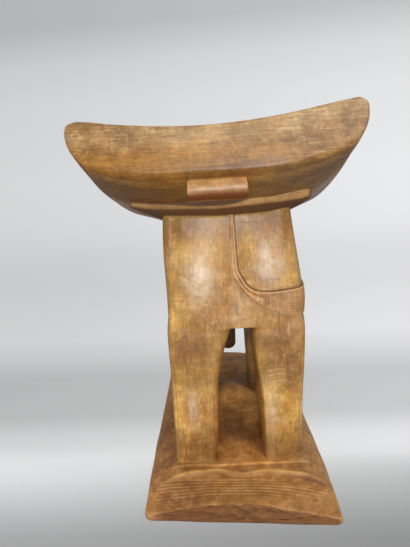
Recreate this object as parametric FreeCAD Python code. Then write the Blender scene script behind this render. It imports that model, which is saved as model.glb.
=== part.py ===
import FreeCAD, Part
import math
import os

# Elephant stool carved from one block of wood. Lengths are millimetres and
# Z is up. The floor is at Z = 0 and the elephant's tail faces minus Y.
# Names ending in "share" or "shares" are plain ratios. All other sizes are
# lengths, so the whole stool scales when they are all multiplied together.

# Seat: one curved section carried along the length, both ends swept up
seat_length = 525.0
seat_width = 262.0
seat_height = 436.0
seat_rise = 64.5
seat_section_height = 55.5
seat_section_shares = (
    (0.0, 0.80), (0.30, 0.81), (0.55, 0.88), (0.75, 0.95), (0.93, 1.0),
    (0.985, 0.93), (1.0, 0.78), (0.985, 0.60), (0.93, 0.37), (0.82, 0.21),
    (0.66, 0.11), (0.43, 0.02), (0.0, 0.0),
)
seat_station_shares = (-1.0, -0.8, -0.55, -0.28, 0.0, 0.28, 0.55, 0.8, 1.0)

# Raised panel under the seat and the carrying lug at each of its ends. The
# panel is thin over the elephant and deepens to a ledge at both ends.
panel_length = 414.0
panel_width = 190.0
panel_thick = 9.0
panel_thin = 1.5
panel_corner = 9.0
panel_edge_lift = 8.0
panel_root_share = 0.5
panel_station_shares = (
    -1.15, -1.0, -0.85, -0.7, -0.45, -0.15, 0.15, 0.45, 0.7, 0.85, 1.0, 1.15,
)
lug_width = 54.0
lug_height = 21.0
lug_inset = 6.0

# Base: a crowned lower tier and a smaller upper tier. It is carved out of
# square, so its sides lean one way and its ends the other.
base_length = 457.0
base_width = 221.0
base_shift = -2.0
base_end_height = 21.5
base_crown_height = 25.0
base_middle_shares = ((0.0, 1.0), (0.25, 0.99), (0.53, 0.95), (0.78, 0.86), (0.94, 0.68), (1.0, 0.50))
base_end_shares = ((0.0, 1.0), (0.25, 0.95), (0.53, 0.69), (0.78, 0.43), (0.94, 0.25), (1.0, 0.21))
base_corner = 11.0
side_lean_share = 0.042
end_lean_share = 0.05
tier_length = 362.0
tier_width = 174.0
tier_shift = 1.0
tier_end_lean_share = 0.015
tier_top = 30.0
tier_corner = 6.0
tier_foot = 14.0
tier_flare = 6.0
groove_count = 6
groove_pitch = 2.8
groove_width = 1.3
groove_depth = 1.0
groove_margin = 11.0
mound_width = 50.0
mound_length = 130.0
mound_height = 13.0
mound_front = 34.0

# Elephant: it stands a little askew on the base. Its height is what is left
# between the base and the lowest place of the seat panel, and names ending
# "up_share" are heights above the base as shares of it.
leg_up_share = 0.608
body_rise_share = 0.464
askew_degrees = 2.2
askew_shift = 1.5
rump_back = 159.0
chest_front = 106.0
elephant_half_width = 83.0
rump_corner = 17.0
chest_corner = 58.0
belly_arch = 14.0
body_height_shares = (0.0, 0.24, 0.60, 1.12)
body_width_shares = (0.995, 1.0, 0.963, 0.89)
body_shift_shares = (0.048, 0.052, 0.015, -0.018)
body_length_shares = (0.985, 1.0, 1.0, 0.99)

# Legs: heights run from the foot to the belly as shares of the leg length
leg_height_shares = (0.0, 0.17, 0.38, 0.56, 0.71, 0.86, 1.0)
leg_left_outer_shares = (0.98, 0.96, 0.955, 0.95, 0.945, 0.94, 0.935)
leg_right_outer_shares = (0.995, 0.985, 0.99, 1.005, 1.02, 1.035, 1.04)
leg_corner = 11.0
hind_inner = 30.6
hind_left_inner_shares = (1.0, 0.95, 0.88, 0.77, 0.62, 0.36, 0.05)
hind_right_inner_shares = (1.0, 0.96, 0.91, 0.87, 0.82, 0.75, 0.73)
hind_depth = 94.0
hind_depth_shares = (1.0, 0.94, 0.88, 0.88, 0.94, 1.02, 1.08)
fore_back = 28.0
fore_inner = 28.0
fore_inner_shares = (1.0, 0.99, 0.97, 0.95, 0.93, 0.90, 0.86)
fore_depth = 76.0
fore_depth_shares = (1.0, 0.93, 0.87, 0.86, 0.89, 0.94, 0.97)

# Tail in low relief: outline points are shares of the half width and of the
# height between the belly and the seat panel
tail_relief = 2.6
tail_wrap = 44.0
tail_outer_shares = (
    (0.084, 1.12), (0.086, 0.84), (0.087, 0.67), (0.105, 0.54),
    (0.165, 0.46), (0.217, 0.40), (0.286, 0.36), (0.376, 0.34),
)
tail_inner_shares = (
    (0.017, 1.12), (0.005, 0.845), (-0.002, 0.674), (0.018, 0.497),
    (0.069, 0.426), (0.136, 0.356), (0.21, 0.298), (0.293, 0.249),
    (0.369, 0.219),
)
tuft_outer_shares = ((0.376, 0.34), (0.564, 0.33), (0.78, 0.335), (1.14, 0.345))
tuft_inner_shares = (
    (0.369, 0.219), (0.465, 0.174), (0.571, 0.139), (0.675, 0.113),
    (0.816, 0.092), (1.14, 0.095),
)

# Head, ears, tusks and trunk, hidden from the photo's side
head_depth = 72.0
head_half_width = 52.0
head_low_up_share = 0.6815
head_rise_share = 0.4255
head_depth_shares = (-0.38, 0.32, 0.68, 1.0)
head_width_shares = (1.0, 0.96, 0.80, 0.55)
head_low_shares = (0.0, 0.03, 0.10, 0.24)
head_high_shares = (1.0, 1.0, 0.92, 0.76)
head_corner_share = 0.8
ear_low_up_share = 0.696
ear_rise_share = 0.323
ear_length = 62.0
ear_thick = 9.0
ear_back = 104.0
ear_root = 33.0
ear_flare_degrees = 24.0
ear_outline_shares = (
    (1.0, 0.86), (0.72, 1.0), (0.34, 0.97), (0.04, 0.74), (0.0, 0.42),
    (0.22, 0.10), (0.52, 0.0), (0.80, 0.20), (0.98, 0.52),
)
tusk_spread = 35.0
tusk_radius = 10.0
tusk_length = 70.0
tusk_root_share = 0.7
tusk_up_share = 0.738
tusk_path_shares = ((-0.34, 0.10), (0.0, 0.0), (0.36, -0.14), (0.70, -0.13), (1.0, 0.04))
tusk_radius_shares = (1.0, 1.0, 0.88, 0.68, 0.42)
trunk_radius = 24.0
trunk_root_share = 0.65
trunk_tip_up_share = 0.1125
trunk_rise_share = 0.749
trunk_reach = 50.0
trunk_path_shares = (
    (-0.44, 1.02), (0.20, 0.96), (0.66, 0.84), (0.90, 0.68), (1.0, 0.48),
    (0.96, 0.28), (0.82, 0.12), (0.66, 0.0),
)
trunk_radius_shares = (1.25, 1.16, 1.02, 0.90, 0.80, 0.73, 0.68, 0.64)

half_seat = seat_length / 2
half_panel = panel_length / 2
seat_bottom = seat_height - seat_section_height
elephant_height = seat_bottom - panel_thin - seat_rise - tier_top
leg_length = elephant_height * leg_up_share
leg_top = tier_top + leg_length
body_height = elephant_height * body_rise_share
head_low = tier_top + elephant_height * head_low_up_share
head_height = elephant_height * head_rise_share
ear_low = tier_top + elephant_height * ear_low_up_share
ear_height = elephant_height * ear_rise_share
tusk_height = tier_top + elephant_height * tusk_up_share
trunk_tip_height = tier_top + elephant_height * trunk_tip_up_share
trunk_length = elephant_height * trunk_rise_share
body_length = rump_back + chest_front
body_middle = (chest_front - rump_back) / 2


def point(x, y, z):
    return FreeCAD.Vector(x, y, z)


def seat_drop(y):
    """How far the seat lies below its ends at this place along the length."""
    share = y / half_seat
    return seat_rise * (1 - share * share)


def smooth_loop(points):
    """Closed smooth wire through the points."""
    curve = Part.BSplineCurve()
    curve.interpolate(points, PeriodicFlag=True)
    return Part.Wire(curve.toShape())


def ring_corners(x, y, half_x, half_y, corner, z, front_corner=None):
    """Start, middle and end of each corner arc of a rounded rectangle."""
    corners = []
    turns = ((1, 1), (-1, 1), (-1, -1), (1, -1))
    for index, (sx, sy) in enumerate(turns):
        radius = front_corner if front_corner and sy > 0 else corner
        lean = radius * math.sqrt(0.5)
        centre = point(x + sx * (half_x - radius), y + sy * (half_y - radius), z)
        side = centre + point(sx * radius, 0, 0)
        end = centre + point(0, sy * radius, 0)
        middle = centre + point(sx * lean, sy * lean, 0)
        first, last = (side, end) if index % 2 == 0 else (end, side)
        corners.append((first, middle, last))
    return corners


def ring_wire(corners):
    """Closed wire of the corner arcs and the straight lines between them."""
    outline = []
    for index, (first, middle, last) in enumerate(corners):
        following = corners[(index + 1) % len(corners)][0]
        outline.append(Part.Arc(first, middle, last).toShape())
        outline.append(Part.LineSegment(last, following).toShape())
    return Part.Wire(outline)


def rounded_ring(x, y, half_x, half_y, corner, z, front_corner=None):
    """Rounded rectangle, flat at height z, as a wire of lines and arcs."""
    return ring_wire(ring_corners(x, y, half_x, half_y, corner, z, front_corner))


def out_of_square(spot, shift, end_lean):
    """Where a place on a square base lies on the crooked one."""
    return point(spot.x + shift - side_lean_share * spot.y, spot.y - end_lean * spot.x, spot.z)


def crooked_ring(half_x, half_y, corner, z, shift, end_lean):
    """Rounded rectangle drawn out of square like the base."""
    corners = []
    for arc in ring_corners(0, 0, half_x, half_y, corner, z):
        corners.append([out_of_square(spot, shift, end_lean) for spot in arc])
    return ring_wire(corners)


def prism(outline, direction):
    """Solid made by pushing a closed wire along the direction."""
    return Part.Face(outline).extrude(direction)


def seat_section(y):
    """Crescent section of the seat at one station."""
    low = seat_bottom - seat_drop(y)
    half = seat_width / 2
    right = []
    for across, up in seat_section_shares:
        right.append(point(across * half, y, low + up * seat_section_height))
    left = []
    for spot in reversed(right[1:-1]):
        left.append(point(-spot.x, spot.y, spot.z))
    return smooth_loop(right + left)


def make_seat():
    sections = []
    for share in seat_station_shares:
        sections.append(seat_section(share * half_seat))
    return Part.makeLoft(sections, True)


def panel_depth(y):
    """How far the panel stands below the seat at this place along the length."""
    share = y / half_panel
    return panel_thin + (panel_thick - panel_thin) * share ** 6


def panel_section(y, height):
    """Section whose curved lower line is the underside of the panel."""
    low = seat_bottom - seat_drop(y) - panel_depth(y)
    top = low + height
    half = seat_width / 2
    lift = panel_edge_lift * (seat_width / panel_width) ** 2
    left = point(-half, y, low + lift)
    right = point(half, y, low + lift)
    belly = Part.Arc(left, point(0, y, low), right).toShape()
    sides = Part.makePolygon([right, point(half, y, top), point(-half, y, top), left])
    return Part.Wire([belly] + sides.Edges)


def above_panel_underside(height):
    """Solid of this height that starts at the underside of the panel."""
    sections = []
    for share in panel_station_shares:
        sections.append(panel_section(share * half_panel, height))
    return Part.makeLoft(sections, True)


def make_panel(seat):
    """Raised panel: it starts inside the seat, which is then cut away."""
    ring = rounded_ring(0, 0, panel_width / 2, half_panel, panel_corner, 0)
    column = prism(ring, point(0, 0, seat_height))
    height = panel_thick + seat_section_height * panel_root_share
    return above_panel_underside(height).common(column).cut(seat)


def make_lug(seat, panel, side):
    """Half-round tongue from the end of the panel to just short of the seat end."""
    radius = lug_height / 2
    nose = half_seat - lug_inset
    low = seat_bottom - lug_height - seat_drop(nose)
    high = seat_bottom
    start = half_panel - panel_corner
    x = -lug_width / 2
    bottom = point(x, nose - radius, low)
    front = point(x, nose, low + radius)
    top = point(x, nose - radius, low + lug_height)
    arc = Part.Arc(bottom, front, top).toShape()
    corners = [top, point(x, nose - radius, high), point(x, start, high), point(x, start, low), bottom]
    outline = Part.Wire([arc] + Part.makePolygon(corners).Edges)
    lug = prism(outline, point(lug_width, 0, 0))
    if side < 0:
        lug = lug.mirror(point(0, 0, 0), point(0, 1, 0))
    return lug.cut(seat).cut(panel)


def base_section(y, crown, shares):
    """Section of the lower tier: low sides and a crowned top. It goes on below
    the floor, where the base is cut flat."""
    half = base_width / 2
    right = [point(across * half, y, up * crown) for across, up in shares]
    left = [point(-spot.x, spot.y, spot.z) for spot in reversed(right[1:])]
    skyline = [out_of_square(spot, base_shift, end_lean_share) for spot in left + right]
    below = [point(half, y, -base_crown_height), point(-half, y, -base_crown_height)]
    feet = [out_of_square(spot, base_shift, end_lean_share) for spot in below]
    top = Part.BSplineCurve()
    top.interpolate(skyline)
    sides = Part.makePolygon([skyline[-1]] + feet + [skyline[0]])
    return Part.Wire([top.toShape()] + sides.Edges)


def make_base_blank():
    half = base_length / 2
    shoulder = tier_length / 2
    sections = [
        base_section(-half, base_end_height, base_end_shares),
        base_section(-shoulder, base_crown_height, base_middle_shares),
        base_section(shoulder, base_crown_height, base_middle_shares),
        base_section(half, base_end_height, base_end_shares),
    ]
    ring = crooked_ring(base_width / 2, half, base_corner, 0, base_shift, end_lean_share)
    column = prism(ring, point(0, 0, base_crown_height))
    return column.common(Part.makeLoft(sections, True, True))


def groove_strip(start, end):
    """Upright slab across the base between two places along its length."""
    half = base_width / 2
    spots = []
    for x, y in ((-half, start), (half, start), (half, end), (-half, end), (-half, start)):
        spots.append(out_of_square(point(x, y, 0), base_shift, end_lean_share))
    return prism(Part.makePolygon(spots), point(0, 0, base_crown_height))


def make_grooves(blank):
    """Fine lines across both ends of the lower tier."""
    skin = blank.cut(blank.translated(point(0, 0, -groove_depth)))
    cutters = []
    for index in range(groove_count):
        for side in (-1, 1):
            start = side * (tier_length / 2 + groove_margin + index * groove_pitch)
            cutters.append(groove_strip(start, start + side * groove_width).common(skin))
    return cutters


def make_base_tier():
    """Upper tier with sloping edges."""
    half_x = tier_width / 2
    half_y = tier_length / 2
    foot = half_x + tier_flare, half_y + tier_flare, tier_corner, tier_foot
    top = half_x, half_y, tier_corner, tier_top
    rings = [crooked_ring(*size, tier_shift, tier_end_lean_share) for size in (foot, top)]
    return Part.makeLoft(rings, True, True)


def make_mound():
    """Low swelling of the base between the forelegs."""
    ball = Part.makeSphere(mound_height)
    stretch = FreeCAD.Matrix()
    stretch.scale(mound_width / mound_height / 2, mound_length / mound_height / 2, 1)
    return ball.transformGeometry(stretch).translated(point(0, mound_front, tier_top))


def make_body(margin):
    """Barrel and rump as one loft; the margin thickens it for the tail."""
    rings = []
    shares = zip(body_height_shares, body_width_shares, body_shift_shares, body_length_shares)
    for up, wide, across, long in shares:
        x = elephant_half_width * across
        half_x = elephant_half_width * wide + margin
        half_y = body_length * long / 2 + margin
        z = leg_top + up * body_height
        ring = rounded_ring(x, body_middle, half_x, half_y, rump_corner + margin, z, chest_corner + margin)
        rings.append(ring)
    return Part.makeLoft(rings, True)


def make_belly_arch():
    """Shallow round-backed cutter across the belly, between fore and hind legs."""
    back = hind_depth - rump_back + leg_corner
    front = fore_back - leg_corner
    middle = (back + front) / 2
    left = -elephant_half_width * 2
    start = point(left, back, leg_top)
    end = point(left, front, leg_top)
    arc = Part.Arc(start, point(left, middle, leg_top + belly_arch), end).toShape()
    outline = Part.Wire([arc, Part.LineSegment(end, start).toShape()])
    return prism(outline, point(elephant_half_width * 4, 0, 0))


def make_leg(inner, back, depth, inner_shares, depth_shares, side):
    rings = []
    outer_shares = leg_left_outer_shares if side < 0 else leg_right_outer_shares
    shares = zip(leg_height_shares, outer_shares, inner_shares, depth_shares)
    for up, out, into, deep in shares:
        inside = inner * into
        outside = elephant_half_width * out
        half_x = (outside - inside) / 2
        half_y = depth * deep / 2
        x = side * (inside + outside) / 2
        z = tier_top + up * leg_length
        rings.append(rounded_ring(x, back + half_y, half_x, half_y, leg_corner, z))
    return Part.makeLoft(rings, True)


def relief(outer_shares, inner_shares, skin):
    """Raised shape on the rump: the part of the skin inside the outline."""
    spots = []
    for across, up in list(outer_shares) + list(reversed(inner_shares)):
        spots.append(point(
            across * elephant_half_width, -rump_back - tail_relief, leg_top + up * body_height))
    first = Part.BSplineCurve()
    first.interpolate(spots[:len(outer_shares)])
    second = Part.BSplineCurve()
    second.interpolate(spots[len(outer_shares):])
    joins = [
        Part.LineSegment(spots[len(outer_shares) - 1], spots[len(outer_shares)]).toShape(),
        Part.LineSegment(spots[-1], spots[0]).toShape(),
    ]
    outline = Part.Wire([first.toShape(), joins[0], second.toShape(), joins[1]])
    return skin.common(prism(outline, point(0, tail_wrap, 0)))


def head_ring(deep, wide, low, high):
    """Rounded section of the head, standing upright across the stool."""
    z_low = head_low + low * head_height
    z_high = head_low + high * head_height
    half_x = head_half_width * wide
    half_z = (z_high - z_low) / 2
    corner = min(half_x, half_z) * head_corner_share
    ring = rounded_ring(0, 0, half_x, half_z, corner, 0)
    ring.rotate(point(0, 0, 0), point(1, 0, 0), 90)
    ring.translate(point(0, chest_front + deep * head_depth, (z_low + z_high) / 2))
    return ring


def make_head(body):
    rings = []
    shares = zip(head_depth_shares, head_width_shares, head_low_shares, head_high_shares)
    for deep, wide, low, high in shares:
        rings.append(head_ring(deep, wide, low, high))
    return Part.makeLoft(rings, True).cut(body)


def mirrored(shape):
    """The same shape on the elephant's other side."""
    return shape.mirror(point(0, 0, 0), point(1, 0, 0))


def make_ear():
    """Fan-shaped ear, laid back along the neck and thinner at its rim."""
    layers = []
    for push, size in ((0, 1.0), (ear_thick / 2, 1.0), (ear_thick, 0.86)):
        spots = []
        for along, up in ear_outline_shares:
            y = (along - 0.5) * size * ear_length
            z = (up - 0.5) * size * ear_height
            spots.append(point(push, y, z))
        layers.append(smooth_loop(spots))
    ear = Part.makeLoft(layers, True)
    ear.rotate(point(0, ear_length / 2, 0), point(0, 0, 1), ear_flare_degrees)
    ear.translate(point(ear_root, ear_back + ear_length / 2, ear_low + ear_height / 2))
    return ear


def tapered_tube(spots, radii):
    """Round tube through the spots with a round tip at its last end."""
    rings = []
    for index, spot in enumerate(spots):
        before = spots[max(index - 1, 0)]
        after = spots[min(index + 1, len(spots) - 1)]
        circle = Part.makeCircle(radii[index], spot, after - before)
        rings.append(Part.Wire(circle))
    dome = Part.makeSphere(radii[-1], spots[-1], spots[-1] - spots[-2], 0, 90, 360)
    return Part.makeLoft(rings, True).fuse(dome)


def make_tusk():
    start = chest_front + head_depth * tusk_root_share
    spots = []
    for along, up in tusk_path_shares:
        y = start + along * tusk_length
        z = tusk_height + up * tusk_length
        spots.append(point(tusk_spread, y, z))
    radii = [tusk_radius * share for share in tusk_radius_shares]
    return tapered_tube(spots, radii)


def make_trunk():
    start = chest_front + head_depth * trunk_root_share
    spots = []
    for forward, up in trunk_path_shares:
        y = start + forward * trunk_reach
        z = trunk_tip_height + up * trunk_length
        spots.append(point(0, y, z))
    radii = [trunk_radius * share for share in trunk_radius_shares]
    return tapered_tube(spots, radii)


def askew(shape):
    """Turns a part of the elephant with the slightly crooked carving."""
    turned = shape.copy()
    turned.rotate(point(0, 0, 0), point(0, 0, 1), askew_degrees)
    turned.translate(point(askew_shift, 0, 0))
    return turned


def make_elephant():
    """All parts of the elephant in its own straight position."""
    blank = make_body(0)
    skin = make_body(tail_relief).cut(blank)
    body = blank.cut(make_belly_arch())
    head = make_head(body)
    legs = {
        "leg_hind_left": (hind_inner, -rump_back, hind_depth, hind_left_inner_shares, hind_depth_shares, -1),
        "leg_hind_right": (hind_inner, -rump_back, hind_depth, hind_right_inner_shares, hind_depth_shares, 1),
        "leg_fore_left": (fore_inner, fore_back, fore_depth, fore_inner_shares, fore_depth_shares, -1),
        "leg_fore_right": (fore_inner, fore_back, fore_depth, fore_inner_shares, fore_depth_shares, 1),
    }
    trunk = make_trunk().cut(head)
    parts = {"body": body, "head": head, "trunk": trunk}
    for name, values in legs.items():
        parts[name] = make_leg(*values)
    tusk = make_tusk().cut(head)
    ear = make_ear().cut(head).cut(tusk)
    parts.update({"tusk_right": tusk, "ear_right": ear.cut(body)})
    parts.update({"tusk_left": mirrored(tusk), "ear_left": mirrored(ear).cut(body)})
    parts["tail"] = relief(tail_outer_shares, tail_inner_shares, skin)
    parts["tail_tuft"] = relief(tuft_outer_shares, tuft_inner_shares, skin)
    return parts


def build():
    seat = make_seat()
    over_elephant = above_panel_underside(seat_height)
    panel = make_panel(seat)
    nodes = {
        "seat": seat,
        "seat_panel": panel,
        "lug_rear": make_lug(seat, panel, -1),
        "lug_front": make_lug(seat, panel, 1),
    }
    for name, shape in make_elephant().items():
        nodes[name] = askew(shape).cut(over_elephant)
    blank = make_base_blank()
    nodes["base_tier"] = make_base_tier().fuse(askew(make_mound())).cut(blank)
    nodes["base_plate"] = blank.cut(make_grooves(blank))
    return nodes


def save(nodes):
    os.makedirs("parts", exist_ok=True)
    for name, shape in nodes.items():
        solids = shape.Solids
        solid = solids[0] if len(solids) == 1 else shape
        print(name, "solids", len(solids), "valid", solid.isValid(), solid.BoundBox)
        solid.exportStep("parts/" + name + ".step")


save(build())
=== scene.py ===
# %% [markdown]
# # An elephant stool carved from one block of wood
# The real stool is one piece: a long seat with both ends swept up, a standing
# elephant seen from behind, and a base with two tiers. This lesson dresses the
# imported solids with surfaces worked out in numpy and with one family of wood
# finishes. The first cell loads the solids as a fixed frame. Everything is in
# metres, Z is up, and the elephant's tail faces minus Y, towards the camera.

# %% Load the frame
import math

import bmesh
import bpy
import numpy as np
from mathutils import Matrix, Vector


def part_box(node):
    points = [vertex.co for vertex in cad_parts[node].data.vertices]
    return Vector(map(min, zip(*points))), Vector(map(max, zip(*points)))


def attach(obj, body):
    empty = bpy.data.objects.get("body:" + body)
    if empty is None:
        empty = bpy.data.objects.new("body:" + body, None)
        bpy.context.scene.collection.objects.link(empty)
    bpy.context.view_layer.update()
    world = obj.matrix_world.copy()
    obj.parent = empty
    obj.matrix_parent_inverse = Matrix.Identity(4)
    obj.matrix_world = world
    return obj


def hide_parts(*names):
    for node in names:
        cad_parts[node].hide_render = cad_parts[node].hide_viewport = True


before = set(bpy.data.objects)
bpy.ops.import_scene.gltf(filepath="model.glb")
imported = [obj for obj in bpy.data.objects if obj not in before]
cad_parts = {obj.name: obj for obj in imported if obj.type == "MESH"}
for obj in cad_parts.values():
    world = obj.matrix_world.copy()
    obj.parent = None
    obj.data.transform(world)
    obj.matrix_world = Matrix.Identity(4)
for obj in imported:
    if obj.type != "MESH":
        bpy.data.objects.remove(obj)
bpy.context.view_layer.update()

MM = 0.001
print("nodes in the frame:", sorted(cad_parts))

# %% [markdown]
# ## Helpers for surfaces
# Every carved form here is a grid of points: rows along the piece, columns around
# it. The same few helpers serve the seat, the legs, the trunk and the tail. A
# mesh could also be built point by point, but that is slow and hides the formula.

# %% Curves and outlines


def smooth_through(stations, values, places):
    """Cubic curve through the values. The slope at each station is the local
    average slope, so the curve has no kinks."""
    stations = np.asarray(stations, float)
    values = np.asarray(values, float)
    slopes = np.gradient(values, stations)
    low = np.clip(np.searchsorted(stations, places) - 1, 0, len(stations) - 2)
    span = stations[low + 1] - stations[low]
    t = np.clip((places - stations[low]) / span, 0, 1)
    ease = t * t * (3 - 2 * t)
    value = values[low] * (1 - ease) + values[low + 1] * ease
    return value + (slopes[low] * t * (1 - t) ** 2 - slopes[low + 1] * t * t * (1 - t)) * span


def smooth_step(low, high, places):
    """0 below low, 1 above high, and an even S-shaped rise between them."""
    t = np.clip((places - low) / (high - low), 0, 1)
    return t * t * (3 - 2 * t)


def soft_box(turn, squareness):
    """Rounded square of half width 1: cosine and sine raised to 2 over the
    squareness. 2 gives a circle, and larger numbers give flatter sides."""
    power = 2 / squareness
    x = np.sign(np.cos(turn)) * np.abs(np.cos(turn)) ** power
    y = np.sign(np.sin(turn)) * np.abs(np.sin(turn)) ** power
    return x, y


def full_turn(columns):
    return np.linspace(0, 2 * math.pi, columns, endpoint=False)


def rounded_close(inset, depth, steps):
    """Two lists for closing an end: how far each row goes on along the piece and
    how far it draws in, round a quarter circle of the given inset."""
    bend = np.linspace(0, math.pi / 2, steps + 1)[1:]
    return depth * np.sin(bend), inset * (1 - np.cos(bend))


# %% Grids into meshes


def grid_faces(rows, columns, closed=True):
    """Four-cornered faces of a grid. A closed grid joins its last column to its first."""
    row, column = np.meshgrid(np.arange(rows - 1), np.arange(columns - (not closed)), indexing="ij")
    following = (column + 1) % columns
    corners = [row * columns + column, row * columns + following,
               (row + 1) * columns + following, (row + 1) * columns + column]
    return np.stack([c.ravel() for c in corners], axis=1)


def join_surfaces(surfaces):
    """Puts several (points, faces) surfaces into one pair of arrays."""
    starts = np.cumsum([0] + [points.reshape(-1, 3).shape[0] for points, _ in surfaces])
    points = np.concatenate([points.reshape(-1, 3) for points, _ in surfaces])
    faces = np.concatenate([faces + start for (_, faces), start in zip(surfaces, starts)])
    return points, faces


def write_mask(mesh, name, values):
    """Stores one number per vertex, which the finishes read by name."""
    layer = mesh.attributes.new(name, "FLOAT", "POINT")
    layer.data.foreach_set("value", np.ascontiguousarray(values, dtype=np.float32).ravel())


def make_piece(name, points, faces, masks={}, rides=True):
    """Object at the origin whose mesh holds the points and their masks, with doubles
    merged and faces turned outwards. It rides on the stool's one body."""
    mesh = bpy.data.meshes.new(name)
    mesh.from_pydata(points.reshape(-1, 3), [], faces)
    for mask, values in masks.items():
        write_mask(mesh, mask, values)
    work = bmesh.new()
    work.from_mesh(mesh)
    bmesh.ops.remove_doubles(work, verts=work.verts, dist=0.02 * MM)
    bmesh.ops.dissolve_degenerate(work, edges=work.edges, dist=0.01 * MM)
    bmesh.ops.recalc_face_normals(work, faces=work.faces)
    work.to_mesh(mesh)
    work.free()
    mesh.shade_smooth()
    piece = bpy.data.objects.new(name, mesh)
    bpy.context.scene.collection.objects.link(piece)
    if rides:
        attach(piece, "root")
    return piece


def read_points(piece):
    flat = np.empty(len(piece.data.vertices) * 3)
    piece.data.vertices.foreach_get("co", flat)
    return flat.reshape(-1, 3)


def read_normals(piece):
    flat = np.empty(len(piece.data.vertices) * 3)
    piece.data.vertices.foreach_get("normal", flat)
    return flat.reshape(-1, 3)


def write_points(piece, points):
    piece.data.vertices.foreach_set("co", points.ravel())
    piece.data.update()


print("grid helpers ready")

# %% [markdown]
# ### Marks of the hand
# A knife leaves no surface quite even. A sum of slow sine waves in mixed directions
# moves each point a little, and points that are close move together. Noise
# textures with a Displace modifier would do the same, but are harder to repeat.
# Worn places are found from the mesh itself: a point that stands out from
# the average of its neighbours lies on an arris, and one below it in a hollow.

# %% Wobble and wear


def carved_wobble(points, size, seed, shortest=40, longest=150):
    """Each of ten waves is sine(2 pi (point . direction) / length + phase) times
    a random move. Lengths are in millimetres."""
    random = np.random.default_rng(seed)
    move = np.zeros_like(points)
    for _ in range(10):
        direction = random.normal(size=3)
        direction /= np.linalg.norm(direction)
        length = random.uniform(shortest, longest) * MM
        phase = random.uniform(0, 2 * math.pi)
        wave = np.sin(points @ direction * (2 * math.pi / length) + phase)
        move += wave[:, None] * random.normal(size=3)[None, :]
    return points + move * size / 3.2


def spread(values, edges, rounds):
    """Averages a per-vertex value with its neighbours' again and again."""
    degree = np.maximum(np.bincount(edges.ravel(), minlength=len(values)), 1)
    for _ in range(rounds):
        total = np.bincount(edges[:, 0], values[edges[:, 1]], len(values))
        total += np.bincount(edges[:, 1], values[edges[:, 0]], len(values))
        values = 0.5 * values + 0.5 * total / degree
    return values


def mark_wear(piece, reach=1.5 * MM, rounds=6):
    """Writes "worn" (0 to 1 on outer arrises) and "hollow" (0 to 1 in inner
    corners): how far a point stands from its neighbourhood along its normal."""
    points, normals = read_points(piece), read_normals(piece)
    edges = np.empty(len(piece.data.edges) * 2, dtype=np.int32)
    piece.data.edges.foreach_get("vertices", edges)
    edges = edges.reshape(-1, 2)
    around = np.stack([spread(points[:, axis].copy(), edges, rounds) for axis in range(3)], axis=1)
    stands = ((points - around) * normals).sum(axis=1)
    stands = spread(stands, edges, 3)
    write_mask(piece.data, "worn", np.clip(stands / reach, 0, 1))
    write_mask(piece.data, "hollow", np.clip(-stands / reach, 0, 1))


print("wear helpers ready")

# %% [markdown]
# ## The driving sizes
# The frame gives each node's box, so the outer sizes are read from it. The rest
# are the few numbers that the solids were made from: how far the seat dips, how
# the elephant stands askew, and how its legs taper.

# %% Sizes
seat_low, seat_high = np.array(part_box("seat"))
panel_low, panel_high = np.array(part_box("seat_panel"))
lug_low, lug_high = np.array(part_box("lug_rear"))
plate_low, plate_high = np.array(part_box("base_plate"))

SEAT_HALF_LENGTH = (seat_high[1] - seat_low[1]) / 2
SEAT_HALF_WIDTH = (seat_high[0] - seat_low[0]) / 2
SEAT_TOP = 436 * MM
SEAT_RISE = 64.5 * MM
SEAT_DEPTH = 55.5 * MM
PANEL_HALF_LENGTH = (panel_high[1] - panel_low[1]) / 2
PANEL_HALF_WIDTH = (panel_high[0] - panel_low[0]) / 2
PANEL_THICK, PANEL_THIN = 9 * MM, 1.5 * MM
PANEL_LIFT = 8 * MM
BASE_HALF_LENGTH, BASE_HALF_WIDTH, BASE_SHIFT = 228.5 * MM, 110.5 * MM, -2 * MM
SIDE_LEAN, END_LEAN, TIER_LEAN = 0.042, 0.05, 0.015
TIER_TOP = 30 * MM
ASKEW = math.radians(2.2)
ASKEW_SHIFT = 1.5 * MM


def stand_askew(points):
    """Turns and shifts the elephant from its own straight place to where it stands."""
    x = points[..., 0] * math.cos(ASKEW) - points[..., 1] * math.sin(ASKEW) + ASKEW_SHIFT
    y = points[..., 0] * math.sin(ASKEW) + points[..., 1] * math.cos(ASKEW)
    return np.stack([x, y, points[..., 2]], axis=-1)


def own_place(x, y):
    """The reverse: where a point of the stool lies for the straight elephant."""
    across = (x - ASKEW_SHIFT) * math.cos(ASKEW) + y * math.sin(ASKEW)
    along = y * math.cos(ASKEW) - (x - ASKEW_SHIFT) * math.sin(ASKEW)
    return across, along


def seat_drop(y):
    """How far the seat lies below its ends: a parabola along Y."""
    return SEAT_RISE * (1 - (y / SEAT_HALF_LENGTH) ** 2)


def edge_lift(x, y):
    """The lower edges of the seat are cut rounder over the elephant, by 9 mm. Towards
    the ends only the outermost part is, by 8 mm on the right and 3 mm on the left."""
    side, away = np.abs(x) / SEAT_HALF_WIDTH, np.abs(y) / SEAT_HALF_LENGTH
    middle = smooth_step(0.78, 0.5, away)
    outer = smooth_step(0.97, 0.80, away) * (1 - middle) * smooth_step(0.72, 0.92, side)
    return (9 * middle * smooth_step(0.35, 0.8, side) + np.where(x > 0, 8, 3) * outer) * MM


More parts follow.
